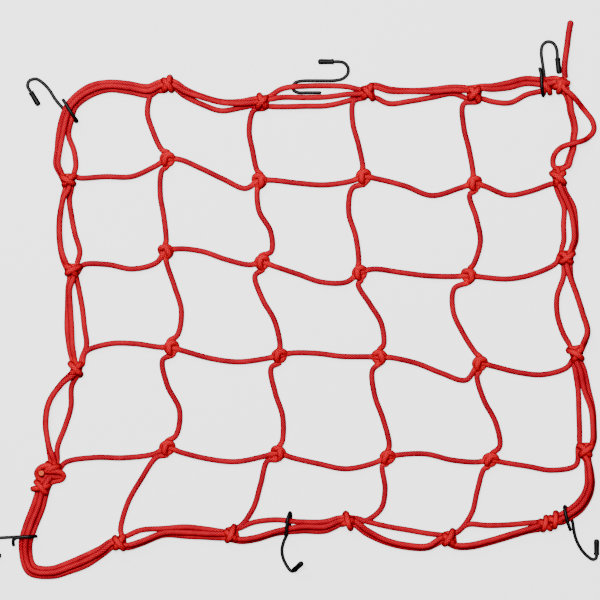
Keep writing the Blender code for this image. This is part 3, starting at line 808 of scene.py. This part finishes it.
    def turns_at(self, centre: np.ndarray, along: np.ndarray, seed: int, look: KnotLook) -> list[Row]:
        """A border knot's turns at any place.

        Args:
            centre: The knot's middle, seen from above.
            along: The border's direction there.
            seed: Makes this knot's own small differences.
            look: How it differs from the table.

        Returns:
            Points of the tied part.
        """
        draw = np.random.default_rng(SEED_BASE + seed)
        flip = -1.0 if seed % 2 else 1.0
        centre = centre + along * look.slid
        made = []
        for u, v, z in BORDER_KNOT:
            u = u * flip + draw.uniform(-KNOT_JITTER, KNOT_JITTER)
            v = (v + draw.uniform(-KNOT_JITTER, KNOT_JITTER)) * (1 + look.taper * u / KNOT_HALF) * look.girth
            u, v = turned(u * look.length, v, look.lean, LEAN_SHEAR)
            made.append((*(centre + along * u + left_of(along) * v), z))
        return made

    def loose_knots(self) -> list[Route]:
        """The border cord's own knots: the corner's, the big one on the left and their cut ends.

        Returns:
            Their routes.
        """
        top, plain = direction("T4", "TR"), KnotLook()
        spots = [
            (at("TR"), heading("T4", "TR", "R1"), 40, plain),
            (np.array(BIG_KNOT_FOOT_AT), direction("left_bend", "L4"), 41, BIG_KNOT_FOOT),
            (at("TR") - top * CORNER_GAP, top, 42, plain),
        ]
        spots += [(at("BR"), heading("right_bend", "BR", "B4"), 43, look) for look in DOUBLE_KNOT]
        paths = [self.fine(self.turns_at(*spot)) for spot in spots]
        made = [Route(path, np.ones(len(path)), np.ones(len(path))) for path in paths]
        for path in [self.fine(points) for points in KNOT_LOOPS]:
            made.append(Route(path, rounded_ends(path, CORD_RADIUS), np.ones(len(path))))
        return made + [cut_off(self.fine(points), CUT_PULL) for points in KNOT_CUTS]

    def fine(self, points: Sequence) -> np.ndarray:
        """A smooth, evenly spaced path through points that lie close together."""
        return spaced(smooth_path(points, step=FINE_STEP), self.ring_step)


def cut_off(path: np.ndarray, pull: float, share: float = 1.0) -> Route:
    """A cord that ends in a clean cut, where its cover flares a little and its rubber core shows.

    Args:
        path: The centre line, up to the cut.
        pull: How tightly the cover is pulled, which is how far it is painted brighter as a highlight.
        share: How thick the cord is, as a share of its full radius.

    Returns:
        The route, with the rim and the core of the cut added.
    """
    way = (path[-1] - path[-2]) / np.linalg.norm(path[-1] - path[-2])
    whole = np.vstack([path] + [path[-1] + way * ring for ring in CUT_RINGS])
    thick = np.full(len(whole), share)
    thick[-len(CUT_SHARES) :] = share * np.array(CUT_SHARES)
    core = np.zeros(len(whole))
    core[-1] = 1.0
    return Route(whole, thick, np.full(len(whole), pull), core=core)


def rounded_ends(path: np.ndarray, radius: float) -> np.ndarray:
    """Shares of the radius that round off both ends of a cord or wire.

    Args:
        path: Evenly spaced points of the centre line.
        radius: The cord's radius.

    Returns:
        One share for each point.
    """
    gone = gone_along(path)
    depth = np.clip(np.minimum(gone[-1] - gone, gone) / (radius * END_DEPTH), 0.0, 1.0)
    return np.maximum(np.sqrt(np.maximum(1 - (1 - depth) ** 2, 0.0)), END_LEAST)


@dataclass
class Painter:
    """Starts a material and adds the nodes that several finishes need.

    Attributes:
        name: The material's name.
    """

    name: str
    material: bpy.types.Material = field(init=False)
    tree: Tree = field(init=False)
    shader: bpy.types.Node = field(init=False)
    ground: Socket = field(init=False)

    def __post_init__(self) -> None:
        """Makes the material with its one shader, and finds the piece's own coordinates."""
        self.material = bpy.data.materials.new(self.name)
        self.material.use_nodes = True
        self.tree = self.material.node_tree
        self.shader = self.tree.nodes["Principled BSDF"]
        self.ground = add_node(self.tree, "ShaderNodeTexCoord").outputs["Object"]

    def out(self, kind: str, links: dict | None = None, **settings: object) -> Socket:
        """Adds a node and gives its first output."""
        return add_node(self.tree, kind, links, **settings).outputs[0]

    def step(self, operation: str, *values: object) -> Socket:
        """One arithmetic step on plain values or sockets."""
        return self.out("ShaderNodeMath", dict(enumerate(values)), operation=operation)

    def noise(self, size_mm: float, detail: float, roughness: float = 0.5) -> Socket:
        """An uneven pattern on the piece's own coordinates, with patches of this size."""
        links = {"Vector": self.ground, "Scale": 1 / (size_mm * MM), "Detail": detail, "Roughness": roughness}
        return self.out("ShaderNodeTexNoise", links)

    def stored(self, name: str, output: str = "Fac") -> Socket:
        """A value that the cord's points carry under this name."""
        return add_node(self.tree, "ShaderNodeAttribute", attribute_name=name).outputs[output]

    def mixed(self, share: object, first: object, second: object, way: str = "MIX") -> Socket:
        """Mixes two colours, by the share of the second and in the way given."""
        links = {0: share, 6: first, 7: second}
        return add_node(self.tree, "ShaderNodeMix", links, data_type="RGBA", blend_type=way).outputs[2]

    def done(
        self, surface: dict, relief: Socket, depth_mm: float, strength: float
    ) -> bpy.types.Material:
        """Sets the shader's inputs and wires a relief to it.

        Args:
            surface: The name of each input and its socket or plain value.
            relief: The relief's height, from 0 to 1.
            depth_mm: How deep it is.
            strength: How strongly it shows.

        Returns:
            The finished material.
        """
        bump = {"Strength": strength, "Distance": depth_mm * MM, "Height": relief}
        fill(self.tree, self.shader, {**surface, "Normal": self.out("ShaderNodeBump", bump)})
        return self.material


@dataclass(frozen=True)
class CordCover:
    """Braided polyester cover over rubber cord: fine yarns laid in two crossing directions.

    The real yarn bundles are about 0.8 mm wide, too fine to show from above, so the braid is drawn
    about twice as coarse. Its valleys are painted darker as shade, and its crowns lighter as a painted
    highlight. Where a knot pulls the cover tight, it is painted brighter still, as a highlight. Each
    cord's sides are painted darker as shade, by how far each face looks up, so each cord has a dark edge.

    Attributes:
        name: The material's name.
        free_painted_shades: The colours of valleys, sides and crowns where the cord lies free, with painted
            shade in the valleys and a painted highlight on the crowns.
        tight: The same where a knot pulls the cover tight, painted brighter there as a highlight.
        rubber: The colour of the core, which shows at a cut end.
        levels: At what heights of the relief those three colours are.
        depth: How much of its colour's brightness the cover keeps on its sides, which are painted darker as
            shade.
        facing: How far a face looks up where it is a side, and where it is the top.
        carriers: How many bundles run each way round the cord.
        lay_mm: How far along the cord a bundle goes while the next takes its place.
        patch_mm: The size of the patches where it is a little worn or faded.
        wear: How much those patches change the shade.
        yarn_mm: The size of its loose threads.
        fuzz: How much those threads change the shade.
        relief_mm: How deep the braid's relief is.
        strength: How strongly that relief shows.
        thread: How high the loose threads stand, as a share of it.
        roughness: How dull the yarn is.
        gloss: How much it reflects.
    """

    name: str
    free_painted_shades: tuple[str, str, str]
    tight: tuple[str, str, str]
    rubber: str = "F26A42"
    levels: tuple[float, float, float] = (0.08, 0.45, 0.9)
    depth: float = 0.3
    facing: tuple[float, float] = (0.15, 0.8)
    carriers: int = 7
    lay_mm: float = 2.1
    patch_mm: float = 14.0
    wear: float = 0.9
    yarn_mm: float = 1.1
    fuzz: float = 0.3
    relief_mm: float = 0.3
    strength: float = 0.6
    thread: float = 0.25
    roughness: float = 0.55
    gloss: float = 0.12

    def build(self) -> bpy.types.Material:
        """Makes the material from what the cord's points carry.

        Returns:
            The finished material.
        """
        paint = Painter(self.name)
        relief = self.braid(paint)
        patch, yarn = paint.noise(self.patch_mm, 3.0, 0.6), paint.noise(self.yarn_mm, 2.0)
        worn = paint.step("MULTIPLY_ADD", patch, self.wear, -self.wear / 2)
        fuzzy = paint.step("MULTIPLY_ADD", yarn, self.fuzz, -self.fuzz / 2)
        shade = paint.step("ADD", relief, paint.step("ADD", worn, fuzzy))
        # Painted shade and highlight: the braid's valleys darker, its crowns lighter, and all of it brighter
        # where a knot pulls the cover tight
        free, held = (self.colours(paint, shade, three) for three in (self.free_painted_shades, self.tight))
        colour = paint.mixed(paint.stored("pull"), free, held)
        # Painted shade: the cord's sides are darkened by how far each face looks up, so each cord has a dark
        # edge
        normal = add_node(paint.tree, "ShaderNodeNewGeometry").outputs["Normal"]
        upward = add_node(paint.tree, "ShaderNodeSeparateXYZ", {0: normal}).outputs["Z"]
        low, high = self.facing
        lit = {"Value": upward, "From Min": low, "From Max": high, "To Min": self.depth, "To Max": 1.0}
        deep = paint.out("ShaderNodeMapRange", lit, interpolation_type="SMOOTHSTEP")
        colour = paint.mixed(1.0, colour, deep, "MULTIPLY")
        colour = paint.mixed(paint.stored("core"), colour, linear(self.rubber))
        height = paint.step("MULTIPLY_ADD", yarn, self.thread, relief)
        surface = {"Base Color": colour, "Roughness": self.roughness, "Specular IOR Level": self.gloss}
        return paint.done(surface, height, self.relief_mm, self.strength)

    def braid(self, paint: Painter) -> Socket:
        """The height of the bundles, which pass over and under each other.

        Args:
            paint: The material's painter.

        Returns:
            The height, from 0 to 1.
        """
        step = paint.step
        cover = add_node(paint.tree, "ShaderNodeSeparateXYZ", {0: paint.stored("cover", "Vector")})
        turn = step("ARCTAN2", cover.outputs["Z"], cover.outputs["Y"])
        around = step("MULTIPLY", turn, self.carriers / (2 * math.pi))
        along = step("MULTIPLY", cover.outputs["X"], 1 / (self.lay_mm * MM))
        lays = (step("ADD", around, along), step("SUBTRACT", around, along))
        waves = [step("SINE", step("MULTIPLY", step("FRACT", lay), math.pi)) for lay in lays]
        over = step("FLOORED_MODULO", step("ADD", step("FLOOR", lays[0]), step("FLOOR", lays[1])), 2.0)
        pairs = (waves, waves[::-1])
        heights = [step("MULTIPLY", own, step("MULTIPLY_ADD", other, 0.5, 0.5)) for own, other in pairs]
        return paint.out("ShaderNodeMix", {0: over, 2: heights[0], 3: heights[1]}, data_type="FLOAT")

    def colours(self, paint: Painter, shade: Socket, three: tuple[str, ...]) -> Socket:
        """The colour for a shade between valley and crown.

        Args:
            paint: The material's painter.
            shade: The shade, from 0 to 1.
            three: The colours of valleys, sides and crowns.

        Returns:
            The colour.
        """
        node = add_node(paint.tree, "ShaderNodeValToRGB", {0: shade})
        ends = node.color_ramp.elements
        ends[0].position, ends[0].color = self.levels[0], linear(three[0])
        ends[1].position, ends[1].color = self.levels[2], linear(three[2])
        ends.new(self.levels[1]).color = linear(three[1])
        return node.outputs[0]


@dataclass(frozen=True)
class BlackFinish:
    """A black surface with a faint grain: powder coat baked on steel wire, or dipped soft PVC.

    Attributes:
        name: The material's name.
        colour: The colour where it is clean.
        worn: The colour of its faint patches.
        roughness: How dull it is.
        grain_mm: The size of the grain.
        grain_depth_mm: How deep the grain is.
        strength: How strongly it shows.
        patch_mm: The size of its faint patches.
        patch_range: Between which values of their pattern they come in.
        patch_share: How far they go towards the worn colour.
        uneven: How much the patches change the roughness.
        gloss: How much it reflects.
    """

    name: str
    colour: str
    worn: str
    roughness: float
    grain_mm: float
    grain_depth_mm: float = 0.1
    strength: float = 0.25
    patch_mm: float = 4.5
    patch_range: tuple[float, float] = (0.55, 0.75)
    patch_share: float = 0.7
    uneven: float = 0.08
    gloss: float = 0.25

    def build(self) -> bpy.types.Material:
        """Makes the material, its grain on the object's own coordinates.

        Returns:
            The finished material.
        """
        paint = Painter(self.name)
        patch, grain = paint.noise(self.patch_mm, 4.0), paint.noise(self.grain_mm, 2.0)
        low, high = self.patch_range
        range_in = {"Value": patch, "From Min": low, "From Max": high, "To Max": self.patch_share}
        worn = paint.out("ShaderNodeMapRange", range_in)
        colour = paint.mixed(worn, linear(self.colour), linear(self.worn))
        least, most = self.roughness - self.uneven, self.roughness + self.uneven
        rough = paint.out("ShaderNodeMapRange", {"Value": patch, "To Min": least, "To Max": most})
        surface = {"Base Color": colour, "Roughness": rough, "Specular IOR Level": self.gloss}
        return paint.done(surface, grain, self.grain_depth_mm, self.strength)


# The cord's cover is dyed polyester yarn: dull, soft and deep red. Painted shade darkens the braid's valleys
# and the cord's sides, and a painted highlight lightens the crowns and the knots
RED_COVER = CordCover(
    "braided_polyester_cover", ("5E0012", "BE0022", "EE062A"), ("900012", "F20424", "FF1026")
)

# The hooks are steel wire with a baked powder coat: an even black with a low sheen and a fine grain
WIRE_COAT = BlackFinish("powder_coated_steel_wire", "050505", "121213", 0.4, 0.12)

# Their caps are dipped in soft PVC: a deeper and duller black with a slightly coarser skin
SOFT_CAP = BlackFinish("dipped_soft_pvc", "040404", "0C0C0C", 0.5, 0.3)


@dataclass
class SweepTree:
    """The Geometry Nodes tree that turns routes into cords, wires and sleeves.

    It sweeps a round profile along every route and keeps, for the materials, how far along and how
    far round each point is. The routes' own `thick` attribute sets how thick they are on the way.

    Attributes:
        name: The tree's name.
    """

    name: str = "cord_sweep"
    tree: Tree = field(init=False)
    inputs: dict[str, str] = field(init=False)

    def __post_init__(self) -> None:
        """Builds the tree and keeps its inputs' identifiers by name."""
        self.tree = bpy.data.node_groups.new(self.name, "GeometryNodeTree")
        face = self.tree.interface
        kinds = {"Geometry": "Geometry", "Radius": "Float", "Sides": "Int", "Finish": "Material"}
        for label, kind in kinds.items():
            face.new_socket(label, in_out="INPUT", socket_type="NodeSocket" + kind)
        face.new_socket("Geometry", in_out="OUTPUT", socket_type="NodeSocketGeometry")
        self.inputs = {item.name: item.identifier for item in face.items_tree if item.in_out == "INPUT"}
        start = add_node(self.tree, "NodeGroupInput").outputs
        place = add_node(self.tree, "GeometryNodeSplineParameter").outputs
        line = self.out("GeometryNodeMeshToCurve", {0: start["Geometry"]})
        line = self.out("GeometryNodeSetCurveNormal", {0: line}, mode="MINIMUM_TWIST")
        line = self.kept(line, "along", place["Length"])
        ring = {"Resolution": start["Sides"], "Radius": start["Radius"]}
        angle = self.out("ShaderNodeMath", {0: place["Factor"], 1: 2 * math.pi}, operation="MULTIPLY")
        ring = self.kept(self.out("GeometryNodeCurvePrimitiveCircle", ring), "around", angle)
        links = {"Curve": line, "Profile Curve": ring, "Scale": self.read("thick"), "Fill Caps": True}
        swept = self.out("GeometryNodeCurveToMesh", links)
        turn = self.read("around")
        cosine, sine = (self.out("ShaderNodeMath", {0: turn}, operation=way) for way in ("COSINE", "SINE"))
        cover = self.out("ShaderNodeCombineXYZ", {0: self.read("along"), 1: cosine, 2: sine})
        swept = self.kept(swept, "cover", cover, "FLOAT_VECTOR")
        swept = self.out("GeometryNodeSetShadeSmooth", {0: swept})
        swept = self.out("GeometryNodeRealizeInstances", {0: swept})
        dressed = self.out("GeometryNodeSetMaterial", {"Geometry": swept, "Material": start["Finish"]})
        add_node(self.tree, "NodeGroupOutput", {0: dressed})

    def out(self, kind: str, links: dict, **settings: object) -> Socket:
        """Adds a node and gives its first output."""
        return add_node(self.tree, kind, links, **settings).outputs[0]

    def read(self, name: str) -> Socket:
        """The number that each point carries under this name."""
        return self.out("GeometryNodeInputNamedAttribute", {"Name": name}, data_type="FLOAT")

    def kept(
        self, geometry: Socket, name: str, value: Socket, kind: str = "FLOAT"
    ) -> Socket:
        """Stores a value at every point.

        Args:
            geometry: What it is stored on.
            name: The name that it gets.
            value: The value.
            kind: Its data type.

        Returns:
            The geometry with the value.
        """
        links = {"Geometry": geometry, "Name": name, "Value": value}
        return self.out("GeometryNodeStoreNamedAttribute", links, data_type=kind, domain="POINT")

    def sweep(
        self, name: str, routes: Sequence[Route], radius_mm: float, sides: int, finish: bpy.types.Material
    ) -> bpy.types.Object:
        """Makes one piece from its routes.

        Args:
            name: The piece's name.
            routes: The centre lines that belong to it.
            radius_mm: The full radius.
            sides: How many sides the section has.
            finish: The material it gets.

        Returns:
            The finished mesh object, at the origin.
        """
        guide = put(name + "_line", self.guide_line(name + "_line", routes, radius_mm))
        step = guide.modifiers.new("sweep", "NODES")
        step.node_group = self.tree
        step[self.inputs["Radius"]] = radius_mm * MM
        step[self.inputs["Sides"]] = sides
        step[self.inputs["Finish"]] = finish
        bpy.context.view_layer.update()
        evaluated = guide.evaluated_get(bpy.context.evaluated_depsgraph_get())
        mesh = bpy.data.meshes.new_from_object(evaluated)
        bpy.data.objects.remove(guide, do_unlink=True)
        mesh.name = name
        closed_up(mesh)
        return put(name, mesh)

    def guide_line(self, name: str, routes: Sequence[Route], radius_mm: float) -> bpy.types.Mesh:
        """Draws routes as lines whose points carry how thick and how tight the cord is.

        Args:
            name: The line's name.
            routes: The centre lines.
            radius_mm: The full radius, which keeps the lines that far off the floor.

        Returns:
            The lines as a mesh of edges.
        """
        points, edges = [], []
        carried = {"thick": [], "pull": [], "core": []}
        for route in routes:
            first, count = len(points), len(route.path)
            path = np.array(route.path, float)
            path[:, 2] = np.maximum(path[:, 2], radius_mm * route.thick)
            points += [tuple(float(v) * MM for v in p) for p in path]
            edges += [(first + k, first + k + 1) for k in range(count - 1)]
            if route.closed:
                edges.append((first + count - 1, first))
            carried["thick"] += list(route.thick)
            carried["pull"] += list(route.pull)
            carried["core"] += [0.0] * count if route.core is None else list(route.core)
        line = bpy.data.meshes.new(name)
        line.from_pydata(points, edges, [])
        for label, values in carried.items():
            line.attributes.new(label, "FLOAT", "POINT").data.foreach_set("value", [float(v) for v in values])
        return line


def closed_up(mesh: bpy.types.Mesh) -> None:
    """Welds the caps to their tubes and turns every face outwards.

    Args:
        mesh: The mesh, changed in place.
    """
    shape = bmesh.new()
    shape.from_mesh(mesh)
    bmesh.ops.remove_doubles(shape, verts=shape.verts, dist=0.000001)
    bmesh.ops.recalc_face_normals(shape, faces=shape.faces)
    for face in shape.faces:
        face.smooth = True
    shape.to_mesh(mesh)
    shape.free()


def hand_over(piece: bpy.types.Object, node: str) -> bpy.types.Object:
    """Attaches a piece to the root body and hides the solid that it replaces.

    Args:
        piece: The finished piece.
        node: The solid that it replaces.

    Returns:
        The same piece.
    """
    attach(piece, ROOT_BODY)
    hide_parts(node)
    return piece


@dataclass
class RedCords:
    """The mesh, its knots and the border's two laps, all of one red cord.

    Attributes:
        plan: Where every cord lies.
        sweep: The tree that makes them.
        sides: How many sides a cord's section has.
        radius: Half the cord's thickness in millimetres, with the yarns that stand proud of it.
        slack: How thick the free end is, whose rubber isn't stretched, as a share of that.
        edge_pull: How tight the edge strand is between its knots.
        lap_pull: How tight the two laps are between theirs.
    """

    plan: NetPlan
    sweep: SweepTree
    sides: int = 14
    radius: float = CORD_RADIUS + COVER_PROUD
    slack: float = 1.1
    edge_pull: float = 0.3
    lap_pull: float = 0.35
    finish: bpy.types.Material = field(init=False)

    def __post_init__(self) -> None:
        """Makes the one material that all the cords share."""
        self.finish = RED_COVER.build()

    def build(self) -> list[bpy.types.Object]:
        """Builds the mesh and the border and hands them to the frame.

        Returns:
            All the pieces of cord.
        """
        plan = self.plan
        made = [
            self.piece("mesh_rows", plan.strands("L"), "net"),
            self.piece("mesh_columns", plan.strands("T"), "net"),
            self.piece("edge_strand", [plan.route(plan.edge, True, self.edge_pull)], "net"),
            self.piece("border_knots", plan.loose_knots(), "net"),
            self.piece("border_laps", [plan.route(plan.laps, stretch=self.lap_pull)], "border_cord"),
        ]
        return made + [self.build_tail()]

    def piece(self, name: str, routes: list[Route], node: str) -> bpy.types.Object:
        """Makes one piece of cord and hands it over.

        Args:
            name: The piece's name.
            routes: Its centre lines.
            node: The solid that it replaces.

        Returns:
            The piece.
        """
        made = self.sweep.sweep(name, routes, self.radius, self.sides, self.finish)
        return hand_over(made, node)

    def build_tail(self) -> bpy.types.Object:
        """Returns:
            The piece.
        """
        path = spaced(smooth_path(TAIL), self.plan.ring_step)
        piece = self.piece("loose_end", [cut_off(path, 0.0, self.slack)], "border_tail")
        return piece


@dataclass
class WireHook:
    """One hook: a bent wire with an eye round the border, a J at its outer end and a soft cap.

    Attributes:
        name: The hook's node.
        rows: The wire's points.
        plan: Where the cords lie that it clips round.
        sweep: The tree that makes it.
        step: How far apart its rings are, in millimetres.
        wire_sides: How many sides the wire's section has.
        cap_sides: How many sides the cap's section has.
    """

    name: str
    rows: Rows
    plan: NetPlan
    sweep: SweepTree
    step: float = 0.6
    wire_sides: int = 12
    cap_sides: int = 20

    def wire_path(self) -> np.ndarray:
        """The wire's centre line, lifted clear of the cords where it runs over them.

        Returns:
            Its points.
        """
        bend = smooth_path(self.rows[:-1], step=WIRE_STEP)
        bend[:, 2] = np.maximum(bend[:, 2], WIRE_RADIUS)
        over = bend[:, 2] > OVER_HEIGHT
        if over.any():
            cords = np.vstack([self.plan.laps, self.plan.edge])
            lift = height_over(bend[over], cords, CORD_RADIUS, WIRE_RADIUS) - bend[over, 2]
            bend[over, 2] += max(lift.max(), 0.0)
        return np.vstack([bend, self.rows[-1]])

    def build(self, coat: bpy.types.Material, soft: bpy.types.Material) -> list[bpy.types.Object]:
        """Builds the wire and its cap.

        Args:
            coat: The wire's material.
            soft: The cap's material.

        Returns:
            Both pieces.
        """
        path = spaced(self.wire_path(), self.step)
        line = Route(path, rounded_ends(path, WIRE_RADIUS), np.zeros(len(path)))
        wire = self.sweep.sweep(self.name + "_wire", [line], WIRE_RADIUS + COAT_PROUD, self.wire_sides, coat)
        hand_over(wire, self.name)
        return [wire, self.build_cap(soft)]

    def build_cap(self, soft: bpy.types.Material) -> bpy.types.Object:
        """The dipped cap: a sleeve with a rolled lip, a slight waist and a domed end.

        Args:
            soft: The cap's material.

        Returns:
            The piece.
        """
        mouth, end = np.array(self.rows[-2], float), np.array(self.rows[-1], float)
        along = (end - mouth) / np.linalg.norm(end - mouth)
        places, shares = np.array(CAP_PROFILE).T
        line = Route(mouth + along * places[:, None], shares, np.zeros(len(places)))
        name = self.name.replace("hook_", "hook_cap_")
        cap = self.sweep.sweep(name, [line], CAP_RADIUS, self.cap_sides, soft)
        return hand_over(cap, self.name.replace("hook_", "hook_tip_"))


@dataclass(frozen=True)
class SoftLight:
    """A square light panel that looks at the net.

    Attributes:
        name: Its name.
        size: Its side in metres.
        power: Its power in watts.
        place: Where it stands.
    """

    name: str
    size: float
    power: float
    place: tuple[float, float, float]

    def build(self) -> None:
        """Sets the light up."""
        data = bpy.data.lights.new(self.name, "AREA")
        data.shape = "SQUARE"
        data.size = self.size
        data.energy = self.power
        light = put(self.name, data)
        light.location = self.place
        light.rotation_euler = (-Vector(self.place)).to_track_quat("-Z", "Y").to_euler()


@dataclass
class Studio:
    """The white table, the soft lights over it and the camera straight above.

    Attributes:
        width: What the picture takes in from side to side, in metres.
        height: How high the camera stands.
        sensor: The width of the camera's sensor in millimetres.
        far: How far the camera sees.
        centre: The picture's middle on the table.
        table_size: Half the table's side.
        table_drop: How far it is below the net, so that their faces never share a plane.
        ground: The table's colour.
        dullness: How dull the table is.
        gloss: How much it reflects.
        glow: How brightly the table shines by itself.
        room: How bright the dim room round it is.
    """

    width: float = PICTURE_PX * PIXEL_MM * MM
    height: float = 2.4
    sensor: float = 36.0
    far: float = 10.0
    centre: tuple[float, float] = (
        (PICTURE_PX / 2 - ORIGIN_PX[0]) * PIXEL_MM * MM,
        (ORIGIN_PX[1] - PICTURE_PX / 2) * PIXEL_MM * MM,
    )
    table_size: float = 3.0
    table_drop: float = 0.0001
    ground: str = "F4F4F3"
    dullness: float = 0.7
    gloss: float = 0.1
    glow: float = 2.0
    room: float = 0.06

    def build(self) -> None:
        """Sets up the table, a broad light overhead, one from the upper left and the camera."""
        self.build_table()
        world = bpy.data.worlds.new("room")
        world.use_nodes = True
        fill(world.node_tree, world.node_tree.nodes["Background"], {"Color": WHITE, "Strength": self.room})
        bpy.context.scene.world = world
        SoftLight("overhead", 0.5, 41.0, (-0.25, 0.45, 2.0)).build()
        SoftLight("key", 0.5, 10.0, (-0.6, 1.0, 1.1)).build()
        data = bpy.data.cameras.new("camera")
        data.sensor_width = self.sensor
        data.lens = self.sensor * self.height / self.width
        data.clip_end = self.far
        camera = put("camera", data)
        camera.location = (*self.centre, self.height)
        bpy.context.scene.camera = camera

    def build_table(self) -> None:
        """Sets up a table of white acrylic that is lit from below.

        It glows evenly, as the photograph's ground does, so no shadow shows round the cords. It throws
        no light back on the cords, whose sides are dark in the photograph.
        """
        mesh = bpy.data.meshes.new("table")
        shape = bmesh.new()
        bmesh.ops.create_grid(shape, x_segments=1, y_segments=1, size=self.table_size)
        bmesh.ops.translate(shape, verts=shape.verts, vec=(0.0, 0.0, -self.table_drop))
        shape.to_mesh(mesh)
        shape.free()
        table = put("table", mesh)
        paint = Painter("lit_white_acrylic")
        surface = {
            "Base Color": linear(self.ground),
            "Roughness": self.dullness,
            "Specular IOR Level": self.gloss,
            "Emission Color": WHITE,
            "Emission Strength": self.glow,
        }
        fill(paint.tree, paint.shader, surface)
        mesh.materials.append(paint.material)
        table.visible_diffuse = False
        table.visible_glossy = False


def main() -> None:
    """Builds every piece in order and reports it."""
    logging.basicConfig(level=logging.INFO, format="%(name)s: %(message)s")
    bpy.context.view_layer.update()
    Studio().build()
    plan = NetPlan()
    sweep = SweepTree()
    pieces = RedCords(plan, sweep).build()
    coat, soft = WIRE_COAT.build(), SOFT_CAP.build()
    for name, rows in HOOKS.items():
        pieces += WireHook(name, rows, plan, sweep).build(coat, soft)
    for piece in pieces:
        log.info("%s: %d faces", piece.name, len(piece.data.polygons))


if __name__ == "__main__":
    main()
